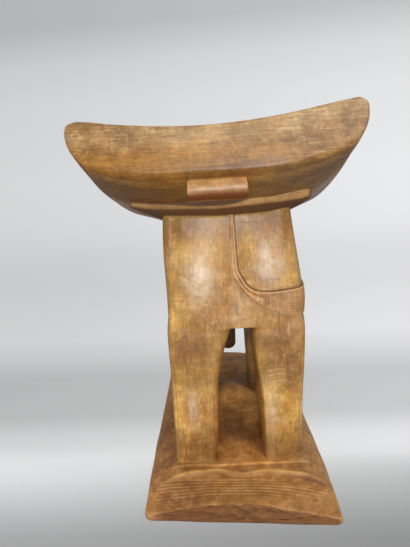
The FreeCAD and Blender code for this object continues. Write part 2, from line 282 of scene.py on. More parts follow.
def panel_underside(x, y):
    """Seat underside minus the panel's depth, which grows with (y / half length)^6
    from 1.5 to 9 mm. It rises to both long sides."""
    depth = PANEL_THIN + (PANEL_THICK - PANEL_THIN) * (y / PANEL_HALF_LENGTH) ** 6
    lift = PANEL_LIFT * (x / PANEL_HALF_WIDTH) ** 2 + 0.5 * edge_lift(x, y)
    return SEAT_TOP - SEAT_DEPTH - depth - seat_drop(y) + lift


print("seat", round(SEAT_HALF_LENGTH * 2, 3), "by", round(SEAT_HALF_WIDTH * 2, 3), "m")

# %% [markdown]
# ## The seat
# In section the seat is a crescent: hollow on top, full below, with thick round
# long edges. The same section runs the whole length and only its height changes,
# along a parabola. It is carved by eye: the right edge is a little higher and
# sharper than the left. The section is a smooth closed curve through measured
# places. Each flat end is closed by rows that first round the arris, more below
# than above, and then shrink towards a point in the section.

# %% Seat section
SEAT_SECTION = np.array([
    (0.0, 0.760), (0.2, 0.785), (0.4, 0.83), (0.58, 0.885), (0.75, 0.945), (0.87, 0.985), (0.95, 0.995),
    (0.99, 0.93), (1.0, 0.79), (0.985, 0.60), (0.93, 0.40), (0.82, 0.25), (0.66, 0.125), (0.43, 0.015),
    (0.2, 0.0), (0.0, 0.0), (-0.2, 0.0), (-0.43, 0.0), (-0.66, 0.065), (-0.8, 0.15), (-0.89, 0.245),
    (-0.945, 0.36), (-0.982, 0.50), (-1.0, 0.65), (-1.0, 0.78), (-0.985, 0.87), (-0.935, 0.922), (-0.85, 0.917),
    (-0.7, 0.865), (-0.5, 0.812), (-0.3, 0.777), (-0.15, 0.762)])


def smooth_loop(corners, columns):
    """Closed smooth curve through the corners, walked at an even pace."""
    around = np.concatenate([corners[-4:], corners, corners[:5]])
    walked = np.concatenate([[0], np.cumsum(np.hypot(*np.diff(around, axis=0).T))])
    places = np.linspace(walked[4], walked[4 + len(corners)], columns, endpoint=False)
    return smooth_through(walked, around[:, 0], places), smooth_through(walked, around[:, 1], places)


section_x, section_z = smooth_loop(SEAT_SECTION * [SEAT_HALF_WIDTH, SEAT_DEPTH], 300)
print("seat section:", len(section_x), "points")

# %% Seat surface
SEAT_ROWS = 130


def make_seat():
    """Point = (section x + sway, y, low line + section z). At the ends the section
    draws in along its own normal round a quarter circle, then shrinks to a point."""
    around_x, around_z = np.gradient(np.pad(section_x, 2, "wrap"))[2:-2], np.gradient(np.pad(section_z, 2, "wrap"))[2:-2]
    length = np.hypot(around_x, around_z)
    normal_x, normal_z = -around_z / length, around_x / length
    side = np.abs(section_x) / SEAT_HALF_WIDTH
    arris = (2.0 + 3.5 * smooth_step(0.2, 0.9, -normal_z) * (1 - side ** 4)) * MM
    bend = np.linspace(0, math.pi / 2, 9)
    past = np.concatenate([np.zeros(SEAT_ROWS - 1), np.sin(bend), np.ones(14)])[:, None]
    inset = np.concatenate([np.zeros(SEAT_ROWS - 1), 1 - np.cos(bend), np.ones(14)])[:, None]
    close = np.concatenate([np.zeros(SEAT_ROWS + 8), np.linspace(0, 1, 15)[1:]])[:, None]
    along = np.concatenate([np.linspace(0, 1, SEAT_ROWS), np.ones(22)])[:, None]
    y = along * (SEAT_HALF_LENGTH - arris) + past * arris
    x = (section_x - normal_x * arris * inset) * (1 - close)
    z = (section_z - normal_z * arris * inset) * (1 - close) + 0.42 * SEAT_DEPTH * close
    half = np.stack([x, y, z], axis=-1)
    grid = np.concatenate([half[::-1] * [1, -1, 1], half[1:]])
    share_up = grid[..., 2] / SEAT_DEPTH
    grid[..., 2] += edge_lift(grid[..., 0], grid[..., 1]) * np.clip(1 - share_up / 0.85, 0, 1)
    sway = (0.6 * smooth_step(0.6, 1.0, np.abs(grid[..., 1]) / SEAT_HALF_LENGTH) - 0.4) * MM
    grid[..., 0] = grid[..., 0] * 0.998 + sway
    grid[..., 2] += SEAT_TOP - SEAT_DEPTH - seat_drop(grid[..., 1])
    return grid, share_up


seat_grid, seat_share_up = make_seat()
seat_points = carved_wobble(seat_grid.reshape(-1, 3), 0.4 * MM, 11)
seat_points = np.clip(seat_points, seat_low + 0.05 * MM, seat_high - 0.05 * MM)
seat = make_piece("carved_seat", seat_points, grid_faces(*seat_grid.shape[:2]), {"share_up": seat_share_up})
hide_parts("seat")
mark_wear(seat)
print("seat:", len(seat.data.polygons), "faces")

# %% [markdown]
# ## Seat panel
# Under the seat lies a raised panel, whose near end shows as a pale ledge. Seen
# from above it is a rounded rectangle. Its outline is repeated at several
# heights: up inside the seat, down the wall, round the arris, and in across the
# underside. Its near right corner is cut off, as on the real one.

# %% Panel surface


def make_panel():
    """Outline points times an inset share, at the underside's height plus a row height."""
    x, y = soft_box(full_turn(400), 22)
    heights = [14, 14, 7, 3, 1.4, 0.5, 0, 0] + [0] * 16
    insets = [95, 0, 0, 0, 0.3, 1.0, 2.2, 8] + list(np.linspace(8, 95, 17)[1:])
    heights, insets = np.array(heights) * MM, np.array(insets) * MM
    grid_x = (1 - insets / (95 * MM))[:, None] * x[None, :] * PANEL_HALF_WIDTH
    grid_y = (1 - insets / (95 * MM))[:, None] * y[None, :] * PANEL_HALF_LENGTH
    over = np.clip(grid_x - grid_y - (PANEL_HALF_WIDTH + PANEL_HALF_LENGTH - 9 * MM), 0, None) / 2
    grid_x, grid_y = grid_x - over, grid_y + over
    z = panel_underside(grid_x, grid_y) + heights[:, None]
    return np.stack([grid_x, grid_y, z], axis=-1)


panel_grid = make_panel()
panel_points = carved_wobble(panel_grid.reshape(-1, 3), 0.5 * MM, 12, 30, 120)
panel_rise = panel_grid[..., 2] - panel_underside(panel_grid[..., 0], panel_grid[..., 1])
panel = make_piece("seat_ledge", panel_points, grid_faces(*panel_grid.shape[:2]),
                   {"rise": panel_rise / MM, "dull": 0.9 + 0 * panel_rise})
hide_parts("seat_panel")
mark_wear(panel)
print("panel:", len(panel.data.polygons), "faces")

# %% [markdown]
# ## Carrying lugs
# Under each seat end a stub with a half-round nose joins the panel to the seat.
# It is a profile carried from side to side, a touch wider at its foot. The
# outline draws in slightly at both cheeks, which leaves the fine pale arris that
# the real one shows.

# %% Lug surfaces


def make_lug(side):
    """The nose is a half circle of the lug's height. The cheeks round off by 1.5 mm."""
    nose, back, low = lug_low[1], lug_high[1], lug_low[2]
    radius = 12.4 * MM
    turn = np.linspace(-math.pi / 2, math.pi / 2, 30)
    front_y = nose + radius * (1 - np.cos(turn) ** 0.8)
    front_z = low + radius + radius * np.sin(turn)
    profile_y = np.concatenate([front_y, [back, back, back - 12 * MM, back - 30 * MM]])
    profile_z = np.concatenate([front_z, [low + 2 * radius, low, low, low]])
    half = (lug_high[0] - lug_low[0]) / 2 + 0.4 * MM
    ahead, draw = rounded_close(1.2 * MM, 1.5 * MM, 6)
    ends = half - 1.5 * MM + ahead
    across = np.concatenate([-ends[-1:], -ends[::-1], np.linspace(-half + 1.5 * MM, half - 1.5 * MM, 50), ends, ends[-1:]])
    shrink = np.concatenate([[1], draw[::-1] / radius, np.zeros(50), draw / radius, [1]])
    middle_y, middle_z = nose + radius, low + radius
    y = middle_y + (profile_y - middle_y)[None, :] * (1 - shrink[:, None])
    z = middle_z + (profile_z - middle_z)[None, :] * (1 - shrink[:, None])
    x = across[:, None] * (1 - 0.025 * (z - low) / radius / 2)
    return np.stack([x, y * side, z], axis=-1)


for lug_name, lug_side in (("rear", 1), ("front", -1)):
    lug_grid = make_lug(lug_side)
    lug_points = carved_wobble(lug_grid.reshape(-1, 3), 0.25 * MM, 14, 12, 50)
    lug = make_piece("carved_lug_" + lug_name, lug_points, grid_faces(*lug_grid.shape[:2]))
    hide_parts("lug_" + lug_name)
    mark_wear(lug, 0.4 * MM, 4)
    print("lug", lug_name, len(lug.data.polygons), "faces")

# %% [markdown]
# ## The elephant
# On the real stool the legs, belly, head and trunk flow into each other, since
# all are cut from the same block. Separate tubes would show seams. So each member
# is first a simple closed tube, then a voxel remesh melts them into one skin, and
# a few smoothing passes give worn, rounded arrises. Sculpting by hand would
# work too, but could not be repeated from a script.

# %% Legs
RUMP_BACK = -159 * MM
CHEST_FRONT = 106 * MM
BODY_MIDDLE = (CHEST_FRONT + RUMP_BACK) / 2
BODY_HALF_LENGTH = (CHEST_FRONT - RUMP_BACK) / 2
HALF_WIDTH = 83 * MM
LEG_TOP = 203 * MM
BODY_HEIGHT = 132 * MM
leg_up = np.array([0.0, 0.17, 0.38, 0.56, 0.71, 0.86, 1.0])
left_outer = np.array([0.98, 0.96, 0.96, 0.96, 0.958, 0.96, 0.965]) * HALF_WIDTH
right_outer = np.array([0.995, 0.985, 0.99, 1.005, 1.025, 1.045, 1.06]) * HALF_WIDTH
hind_left_inner = np.array([0.91, 0.80, 0.73, 0.70, 0.56, 0.34, 0.05]) * 30.6 * MM
hind_right_inner = np.array([1.0, 1.01, 0.975, 0.93, 0.83, 0.75, 0.73]) * 30.6 * MM
hind_front = RUMP_BACK + np.array([1.0, 0.94, 0.88, 0.88, 0.94, 1.02, 1.08]) * 94 * MM
fore_inner = np.array([1.0, 0.99, 0.97, 0.95, 0.93, 0.90, 0.86]) * 28 * MM
FORE_BACK = 28 * MM
fore_front = FORE_BACK + np.array([1.0, 0.93, 0.87, 0.86, 0.89, 0.94, 0.97]) * 76 * MM


def closed_tube(centre_x, centre_y, half_x, half_y, z, columns, squareness):
    """Rounded boxes stacked along Z. The first and last rows shrink to a point."""
    ends = lambda row: np.concatenate([row[:1], row, row[-1:]])
    x, y = soft_box(full_turn(columns), squareness)
    shut = np.concatenate([[0], np.ones(len(z)), [0]])
    grid_x = ends(centre_x)[:, None] + x[None, :] * (ends(half_x) * shut)[:, None]
    grid_y = ends(centre_y)[:, None] + y[None, :] * (ends(half_y) * shut)[:, None]
    grid_z = ends(z)[:, None] + 0 * grid_x
    return np.stack([grid_x, grid_y, grid_z], axis=-1), grid_faces(len(z) + 2, columns)


def make_leg(inner, back, front, side, shoulder=0.0):
    """Its inner, outer and front lines are smooth curves over the height. The top draws
    in, by the shoulder and a few millimetres, so that it ends inside the body."""
    rows = np.linspace(0, 1.25, 86)
    inside = smooth_through(leg_up, inner, rows)
    outside = smooth_through(leg_up, left_outer if side < 0 else right_outer, rows)
    reach = smooth_through(leg_up, front, rows)
    z = TIER_TOP + rows * (LEG_TOP - TIER_TOP)
    z[0] -= 4 * MM
    sunk = 5 * MM * smooth_step(0.94, 1.25, rows)
    draw_in = sunk + shoulder * smooth_step(0.72, 1.0, rows)
    outside, reach, back = outside - draw_in, reach - 0.3 * draw_in, back + sunk
    return closed_tube(side * (inside + outside) / 2, (back + reach) / 2,
                       (outside - inside) / 2, (reach - back) / 2, z, 140, 8)


legs = [make_leg(hind_left_inner, RUMP_BACK, hind_front, -1), make_leg(hind_right_inner, RUMP_BACK, hind_front, 1),
        make_leg(fore_inner, FORE_BACK, fore_front, -1, 11 * MM), make_leg(fore_inner, FORE_BACK, fore_front, 1, 11 * MM)]
print("legs:", len(legs))

# %% Body


def rump_half_width(z):
    """Half width of the body from belly to seat panel."""
    return smooth_through([0, 0.24, 0.6, 1.12], [1.008, 1.015, 0.979, 0.906], (z - LEG_TOP) / BODY_HEIGHT) * HALF_WIDTH


def rump_middle(z):
    """The body swells more to the right below, so its middle line wanders."""
    return smooth_through([0, 0.24, 0.6, 1.12], [0.048, 0.052, 0.015, -0.018], (z - LEG_TOP) / BODY_HEIGHT) * HALF_WIDTH


def rump_outline(turn):
    """Rounded box seen from above: full at the rump, drawn in towards the chest."""
    x, y = soft_box(turn, 9)
    front = smooth_step(0.35, 1.0, y)
    return x * (1 - 0.16 * front), y - 0.14 * front * np.abs(x) ** 3


def belly_arch(y):
    """Rise of the belly between the legs: a parabola of 12 mm."""
    return 12 * MM * np.clip(1 - ((y + 17 * MM) / (42 * MM)) ** 2, 0, 1)


def make_body():
    """The outline stacked from belly to panel. The belly between the legs is arched."""
    rows = np.linspace(0, 1.12, 60)
    z = LEG_TOP + rows * BODY_HEIGHT
    half_x = rump_half_width(z)
    x, y = rump_outline(full_turn(260))
    side_y = BODY_MIDDLE + BODY_HALF_LENGTH * y + 0 * half_x[:, None]
    side_z = z[:, None] + belly_arch(side_y) * smooth_step(0.3, 0.0, rows)[:, None]
    side = np.stack([rump_middle(z)[:, None] + half_x[:, None] * x, side_y, side_z], axis=-1)
    share = np.linspace(1, 0, 40)[1:, None]
    floor_x, floor_y = rump_middle(z[0]) + share * x * half_x[0], BODY_MIDDLE + share * y * BODY_HALF_LENGTH
    belly = np.stack([floor_x, floor_y, LEG_TOP + belly_arch(floor_y)], axis=-1)
    roof = np.stack([rump_middle(z[-1]) + share * x * half_x[-1], floor_y, z[-1] + 0 * floor_y], axis=-1)
    grid = np.concatenate([belly[::-1], side, roof])
    return grid, grid_faces(len(grid), 260)


print("body grid:", make_body()[0].shape)

# %% [markdown]
# ### Head, trunk, tusks and ears
# The front of the elephant is not in the photo, so it follows the usual carved
# form: a domed head that comes forward from the chest, a trunk that hangs to
# just above the base and turns back, short tusks, and fan-shaped ears laid back. The
# rounded tip of the trunk is what shows dark between the hind legs.

# %% Head, trunk and tusks
HEAD_DEPTH = 72 * MM
EAR_ROOT = 33 * MM
trunk_path = np.array([(-0.44, 1.02), (0.20, 0.96), (0.66, 0.84), (0.90, 0.68), (1.0, 0.48),
                       (0.96, 0.28), (0.82, 0.12), (0.66, 0.0), (0.568, -0.069)])
trunk_radius = np.array([1.25, 1.16, 1.02, 0.90, 0.80, 0.73, 0.68, 0.64, 0.62]) * 24 * MM
tusk_path = np.array([(-0.34, 0.10), (0.0, 0.0), (0.36, -0.14), (0.70, -0.13), (1.0, 0.04), (1.05, 0.075)])
tusk_radius = np.array([1.0, 1.0, 0.88, 0.68, 0.44, 0.40]) * 10 * MM


def round_tip(radius, rows, share):
    """Closes the last part of a tube like half a ball."""
    left = np.clip((1 - rows) / share, 0, 1)
    return radius * np.sqrt(1 - (1 - left) ** 2)


def make_head():
    """Rounded boxes from the chest forwards. Width, chin line and brow line are curves."""
    rows = np.linspace(0, 1, 70)
    place = -0.38 + 1.38 * rows
    deep = [-0.38, 0.32, 0.68, 1.0]
    low = (224 + 121 * smooth_through(deep, [0.0, 0.03, 0.10, 0.24], place)) * MM
    high = (224 + 121 * smooth_through(deep, [1.0, 1.0, 0.92, 0.76], place)) * MM
    half = round_tip(smooth_through(deep, [1.0, 0.96, 0.80, 0.55], place) * 52 * MM, rows, 0.12)
    tall = round_tip((high - low) / 2, rows, 0.12)
    grid, faces = closed_tube(0 * rows, (low + high) / 2, half, tall, CHEST_FRONT + place * HEAD_DEPTH, 100, 2.8)
    return grid[..., [0, 2, 1]], faces


def bent_tube(path_y, path_z, radius, flat=1.0, columns=64):
    """Rings across a curve in the elephant's middle plane: one axis of a ring is X,
    the other is the path's direction turned by a quarter."""
    step_y, step_z = np.gradient(path_y), np.gradient(path_z)
    length = np.hypot(step_y, step_z)
    turn = full_turn(columns)
    out = flat * radius[:, None] * np.sin(turn)[None, :]
    x = radius[:, None] * np.cos(turn)[None, :]
    y = path_y[:, None] - out * (step_z / length)[:, None]
    z = path_z[:, None] + out * (step_y / length)[:, None]
    return np.stack([x, y, z], axis=-1), grid_faces(len(path_y), columns)


def make_trunk():
    """Radius and path are smooth curves over the length."""
    rows = np.linspace(0, 1, 260)
    knots = np.linspace(0, 1, 9)
    y = CHEST_FRONT + HEAD_DEPTH * 0.65 + smooth_through(knots, trunk_path[:, 0], rows) * 50 * MM
    z = 62 * MM + smooth_through(knots, trunk_path[:, 1], rows) * 213 * MM
    radius = round_tip(smooth_through(knots, trunk_radius, rows), rows, 0.11)
    radius[0] = 0
    return bent_tube(y, z, radius, 0.94)


def make_tusk(side):
    rows = np.linspace(0, 1, 80)
    knots = np.array([0, 0.24, 0.48, 0.72, 0.95, 1.0])
    y = CHEST_FRONT + HEAD_DEPTH * 0.7 + smooth_through(knots, tusk_path[:, 0], rows) * 70 * MM
    z = 240 * MM + smooth_through(knots, tusk_path[:, 1], rows) * 70 * MM
    radius = round_tip(smooth_through(knots, tusk_radius, rows), rows, 0.07)
    radius[0] = 0
    grid, faces = bent_tube(y, z, radius, 1.0, 40)
    return grid + np.array([side * 35 * MM, 0, 0]), faces


def make_ear(side):
    """Fan: an egg-shaped outline drawn in to its middle on both faces, rippled on
    the outer face, then swung back along the neck."""
    rows = np.linspace(-1, 1, 61)
    turn = full_turn(100)
    reach = (1 - np.abs(rows) ** 5) ** 0.5
    egg_y = 33 * MM * np.cos(turn) * (1 + 0.10 * np.sin(turn))
    egg_z = 46 * MM * np.sin(turn) + 5 * MM * np.cos(turn) ** 2
    y = reach[:, None] * egg_y[None, :]
    z = reach[:, None] * egg_z[None, :]
    ripple = 1.2 * MM * np.cos(3 * turn)[None, :] * reach[:, None] ** 3
    push = 4.6 * MM * rows[:, None] + ripple * (rows[:, None] > 0)
    swing = math.radians(24)
    back = y - 33 * MM
    x = side * (EAR_ROOT + 4.6 * MM + push * math.cos(swing) - back * math.sin(swing))
    grid = np.stack([x, 166 * MM + push * math.sin(swing) + back * math.cos(swing), z + 272 * MM], axis=-1)
    return grid, grid_faces(len(rows), len(turn))


print("head grid:", make_head()[0].shape, "trunk grid:", make_trunk()[0].shape)

# %% [markdown]
# ### One skin
# All members go into one mesh, and a voxel remesh with a smoothing pass turns them
# into one skin. Then numpy moves the points once more: slow unevenness, and two
# swellings for the buttocks with a shallow hollow between them. The cut beside the
# tail is painted shade in the finish.

# %% Melt the members together


def melt(name, points, faces, voxel, passes):
    """Voxel remesh and smoothing, applied, so that the result is a plain mesh."""
    rough = make_piece(name + "_rough", points, faces, rides=False)
    remesh = rough.modifiers.new("one_skin", "REMESH")
    remesh.mode = "VOXEL"
    remesh.voxel_size = voxel
    smooth = rough.modifiers.new("worn", "SMOOTH")
    smooth.factor = 0.5
    smooth.iterations = passes
    seen = rough.evaluated_get(bpy.context.evaluated_depsgraph_get())
    skin = bpy.data.meshes.new_from_object(seen)
    bpy.data.objects.remove(rough)
    skin.name = name
    skin.shade_smooth()
    piece = bpy.data.objects.new(name, skin)
    bpy.context.scene.collection.objects.link(piece)
    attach(piece, "root")
    return piece


def under_the_panel(points, margin):
    """Keeps the elephant's top just inside the seat panel."""
    roof = panel_underside(points[:, 0], points[:, 1]) + margin
    return np.stack([points[:, 0], points[:, 1], np.minimum(points[:, 2], roof)], axis=-1)


members = legs + [make_body(), make_head(), make_trunk()]
members += [make_tusk(1), make_tusk(-1), make_ear(1), make_ear(-1)]
member_points, member_faces = join_surfaces(members)
member_points = under_the_panel(stand_askew(member_points), 2.5 * MM)
elephant = melt("carved_elephant", member_points, member_faces, 2.1 * MM, 5)
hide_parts("body", "head", "trunk", "ear_left", "ear_right", "tusk_left", "tusk_right",
            "leg_hind_left", "leg_hind_right", "leg_fore_left", "leg_fore_right")
print("elephant:", len(elephant.data.polygons), "faces")

# %% [markdown]
# ### Swellings and the tail's place
# The tail hangs down the middle of the rump, sweeps to the right and ends in a
# broad tuft that wraps round the flank. Its two edges are smooth curves in a flat
# picture of the rump: s runs along the skin from the middle line, z is the
# height. The same curves give the painted shade beside the tail in the skin's finish,
# with a sunk line along the upper edge, and the raised tail itself.

# %% Tail edges
UPPER_EDGE = np.array([(7.0, 338), (7.0, 314), (7.2, 292), (8.7, 274), (13.7, 263.6), (18, 256.2), (23.7, 251.1),
                       (31.2, 247.8), (46.8, 246.3), (64.8, 247.3), (84, 248.4), (104, 250), (118, 251)]) * MM
LOWER_EDGE = np.array([(1.4, 338), (0.4, 314.7), (-0.2, 292), (1.5, 268.6), (5.7, 259.2), (11.3, 249.9),
                       (17.4, 242.3), (24.3, 235.9), (38.6, 226), (56, 217.9), (72, 215), (92, 214), (110, 214)]) * MM
TAIL_ROWS, TAIL_COLUMNS = 640, 100


def tail_edge(edge, places):
    knots = np.linspace(0, 1, len(edge))
    return np.stack([smooth_through(knots, edge[:, 0], places), smooth_through(knots, edge[:, 1], places)], axis=-1)


def rump_walk():
    """The body's outline from the middle of the rump, and the way walked along it."""
    x, y = rump_outline(np.linspace(-math.pi / 2, math.pi / 2, 4001))
    step = np.hypot(np.diff(x) * HALF_WIDTH, np.diff(y) * BODY_HALF_LENGTH)
    return x, y, np.concatenate([[0], np.cumsum(step)])


def rump_place(s, z, lift):
    """From flat to round: s is walked along the outline, and lift moves the point
    outwards along the outline's normal."""
    x, y, walked = rump_walk()
    x, y = x * HALF_WIDTH, BODY_MIDDLE + y * BODY_HALF_LENGTH
    normal_x, normal_y = np.gradient(y, walked), -np.gradient(x, walked)
    middle = rump_middle(z)
    side, length = np.where(s < middle, -1, 1), np.abs(s - middle)
    narrow = rump_half_width(z) / HALF_WIDTH
    own_x = middle + side * (np.interp(length, walked, x) * narrow + lift * np.interp(length, walked, normal_x))
    own_y = np.interp(length, walked, y) + lift * np.interp(length, walked, normal_y)
    return stand_askew(np.stack([own_x, own_y, z], axis=-1))


def rump_flat(points):
    """The reverse, for points on the skin: the bearing from the body's middle line
    says how far the point has walked along the outline."""
    x, y, walked = rump_walk()
    across, along = own_place(points[:, 0], points[:, 1])
    middle = rump_middle(points[:, 2])
    share_x = np.abs(across - middle) / rump_half_width(points[:, 2])
    bearing = np.arctan2((along - BODY_MIDDLE) / BODY_HALF_LENGTH, share_x)
    s = middle + np.sign(across - middle) * np.interp(bearing, np.arctan2(y, x), walked)
    return np.stack([s, points[:, 2]], axis=-1)


def rump_swell(points):
    """Two soft bulges towards the camera, and a shallow hollow between them."""
    across, along = own_place(points[:, 0], points[:, 1])
    near = 1 - smooth_step(RUMP_BACK + 10 * MM, RUMP_BACK + 60 * MM, along)
    left = np.exp(-((across + 36 * MM) / (27 * MM)) ** 2 - ((points[:, 2] - 268 * MM) / (40 * MM)) ** 2)
    right = np.exp(-((across - 44 * MM) / (26 * MM)) ** 2 - ((points[:, 2] - 284 * MM) / (38 * MM)) ** 2)
    middle = np.exp(-((across - 4 * MM) / (14 * MM)) ** 2 - ((points[:, 2] - 280 * MM) / (60 * MM)) ** 2)
    moved = points.copy()
    moved[:, 1] -= near * (6.5 * left + 6.0 * right - 2.0 * middle) * MM
    return moved


def gap_to(flat, line):
    """Distance from each flat point to a line of short segments."""
    best = np.full(len(flat), np.inf)
    for first, last in zip(line[:-1], line[1:]):
        step = last - first
        t = np.clip(((flat - first) @ step) / max(step @ step, 1e-12), 0, 1)
        best = np.minimum(best, np.hypot(*(flat - first - t[:, None] * step).T))
    return best


# %% Finish the skin
skin_points = read_points(elephant)
skin_flat = rump_flat(skin_points)
across, along = own_place(skin_points[:, 0], skin_points[:, 1])
on_rump = (along < RUMP_BACK + 60 * MM) & (skin_flat[:, 1] > 190 * MM) & (skin_flat[:, 0] > -30 * MM)
upper_line, lower_line = tail_edge(UPPER_EDGE, np.linspace(0, 1, 120)), tail_edge(LOWER_EDGE, np.linspace(0, 1, 120))
for mask_name, line in (("upper_gap", upper_line), ("lower_gap", lower_line)):
    gap = np.full(len(skin_points), 0.1)
    gap[on_rump] = gap_to(skin_flat[on_rump], line)
    write_mask(elephant.data, mask_name, gap / MM)
back_facing = np.clip(-2 * read_normals(elephant)[:, 1], 0, 1)
# Painted shade: the trunk's back, low under the head, is painted nearly black in the finish and also made duller.
in_shade = smooth_step(112 * MM, 120 * MM, along) * smooth_step(215 * MM, 180 * MM, skin_points[:, 2])
write_mask(elephant.data, "dull", back_facing * in_shade)
# Painted highlights: soft pale spots on the buttocks and shins stand in for the lamps' sheen.
painted_highlight = np.zeros(len(skin_points))
for middle_x, middle_z, half_x, half_z, strength in ((-35, 263, 18, 29, 1.0), (44, 276, 17, 22, 1.0),
                                                     (-54, 105, 7, 22, 0.55), (42, 92, 6, 34, 0.5)):
    off_x, off_z = (across / MM - middle_x) / half_x, (skin_points[:, 2] / MM - middle_z) / half_z
    painted_highlight = np.maximum(painted_highlight, strength * np.exp(-off_x ** 2 - off_z ** 2))
write_mask(elephant.data, "painted_highlight", painted_highlight * (along < RUMP_BACK + 20 * MM))
up_leg = np.clip((skin_points[:, 2] - TIER_TOP) / (LEG_TOP - TIER_TOP), 0, 1)
inner = np.where(across < 0, smooth_through(leg_up, hind_left_inner, up_leg), smooth_through(leg_up, hind_right_inner, up_leg))
outer = np.where(across < 0, smooth_through(leg_up, left_outer, up_leg), smooth_through(leg_up, right_outer, up_leg))
on_legs = (along < RUMP_BACK + 60 * MM) & (up_leg < 1)
inner_edge = np.abs(across) - inner + np.where(across > 0, 3.5 * MM, 0) + 0.3 * np.maximum(along - RUMP_BACK - 25 * MM, 0)
outer_edge = outer - np.abs(across) + np.maximum(along - RUMP_BACK - 3 * MM, 0)
write_mask(elephant.data, "inner_edge", np.where(on_legs, inner_edge / MM, 50))
write_mask(elephant.data, "outer_edge", np.where(on_legs, outer_edge / MM, 50))
# Painted shade under the belly: the legs and belly between the hind legs and the chest are darkened, less on faces that
# look forward.
painted_belly_shade = smooth_step(-110 * MM, -70 * MM, along) * smooth_step(108 * MM, 95 * MM, along)
painted_belly_shade = painted_belly_shade * smooth_step(68 * MM, 52 * MM, np.abs(across)) * smooth_step(225 * MM, 205 * MM, skin_points[:, 2])
write_mask(elephant.data, "painted_belly_shade", painted_belly_shade * (1 - np.clip(read_normals(elephant)[:, 1], 0, 1)))
skin_points = carved_wobble(rump_swell(skin_points), 0.35 * MM, 13)
write_points(elephant, skin_points)
mark_wear(elephant, 1.0 * MM, 10)
print("skin points beside the tail:", int((np.abs(gap) < 3 * MM).sum()))

# %% [markdown]
# ## The tail
# The tail is one strip in low relief, from the seat panel down to the tuft. Across
# the strip it rises softly from the lower edge to a crisp ridge along the upper edge.
# The tuft carries fine rows of hatching with short cross cuts. They are real
# cuts in the mesh, so the grid is fine enough to hold them.

# %% Tail surface


def make_tail():
    """Between the edges: point = lower (1 - v) + upper v, lifted by a height over v.
    Four more columns run back under the skin, and both ends close in a point."""
    rows = np.linspace(0, 1, TAIL_ROWS)
    lower, upper = tail_edge(LOWER_EDGE, rows), tail_edge(UPPER_EDGE, rows)
    walked = np.cumsum(np.hypot(*np.gradient((lower + upper) / 2, axis=0).T))[:, None]
    wide = np.hypot(*(upper - lower).T)[:, None]
    front = TAIL_COLUMNS - 4
    v = np.concatenate([np.linspace(0, 1, front), [0.9, 0.6, 0.3, 0.1]])[None, :]
    flat = lower[:, None] * (1 - v[..., None]) + upper[:, None] * v[..., None]
    tuft = smooth_step(33 * MM, 39 * MM, flat[..., 0])
    from_low, from_high = v * wide, (1 - v) * wide
    rise = smooth_step(-0.6 * MM, 2.6 * MM, from_low) * smooth_step(-0.4 * MM, 0.9 * MM, from_high)
    ridge = 1.9 + 0.9 * smooth_step(0.45, 0.8, v) - 0.55 * np.exp(-((v - 0.55) / 0.12) ** 2)
    broad = 2.2 + 0.4 * np.sin(math.pi * v)
    hatch = np.cos(2 * math.pi * from_low / (2.25 * MM) + 0.35 * np.sin(walked / (5 * MM)))
    crossing = np.cos(2 * math.pi * (walked + 0.25 * from_low) / (2.5 * MM) + 0.6 * np.sin(from_low / (3 * MM)))
    cuts = 0.34 * np.clip(-hatch - 0.25, 0, 1) + 0.30 * np.clip(-crossing - 0.35, 0, 1)
    cuts = cuts * tuft * smooth_step(1.2 * MM, 2.6 * MM, from_low) * smooth_step(0.8 * MM, 2.2 * MM, from_high)
    lift = rise * (ridge * (1 - tuft) + broad * tuft) - cuts
    lift[:, front:] = -3.0
    spots = rump_place(flat[..., 0].ravel(), flat[..., 1].ravel(), lift.ravel() * MM)
    spots = spots.reshape(TAIL_ROWS, TAIL_COLUMNS, 3)
    spots[0], spots[-1] = spots[0, front:].mean(axis=0), spots[-1, front:].mean(axis=0)
    masks = {"tuft": tuft, "cuts": cuts / 0.3, "across": v + 0 * lift, "rim": from_high / MM + 0 * lift}
    return spots.reshape(-1, 3), masks


tail_points, tail_masks = make_tail()
tail_points = carved_wobble(rump_swell(tail_points), 0.35 * MM, 13)
tail_points = under_the_panel(tail_points, 2.0 * MM)
tail = make_piece("carved_tail", tail_points, grid_faces(TAIL_ROWS, TAIL_COLUMNS), tail_masks)
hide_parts("tail", "tail_tuft")
mark_wear(tail, 0.3 * MM, 5)
print("tail:", len(tail.data.polygons), "faces")

# %% [markdown]
# ## Base
# The base is a crowned slab with a smaller upper tier, both worn by use. It is
# carved out of square: the sides lean one way and the ends the other. Fine grooves
# cross its ends, a mound rises between the forelegs, and the near end is rough
# where the block was split. Its height is one formula over x and y. A loop
# of points goes across the top, down one wall, back under the slab and up the
# other wall, and is carried along Y. The end faces close in to a point.

# %% Base height
CROWN_PLACES = [0, 0.25, 0.53, 0.78, 0.94, 1.0]
MIDDLE_CROWN = np.array([1, 0.99, 0.95, 0.86, 0.68, 0.5]) * 25 * MM
END_CROWN = np.array([1, 0.95, 0.69, 0.43, 0.25, 0.21]) * 21.5 * MM
TIER_SHIFT = 1 * MM
TIER_EDGE_PLACES = np.array([-100, -83, -62, -42, -25, -13, 7, 19, 35, 55, 73, 94, 105]) * MM
TIER_EDGE_REACH = np.array([182, 181, 178.6, 175.2, 173.2, 176.6, 180.2, 177.1, 174.2, 178.5, 182, 186, 187]) * MM
FIRST_GROOVE, GROOVE_PITCH, FOOT_STEP = 188 * MM, 4.5 * MM, 1.8 * MM


def out_of_square(x, y):
    """Where a place on a square base lies on the crooked one."""
    return x + BASE_SHIFT - SIDE_LEAN * y, y - END_LEAN * x


def squared(x, y, shift, end_lean):
    """The reverse: a place on the crooked base, told as on a square one."""
    return x - shift + SIDE_LEAN * y, y + end_lean * x


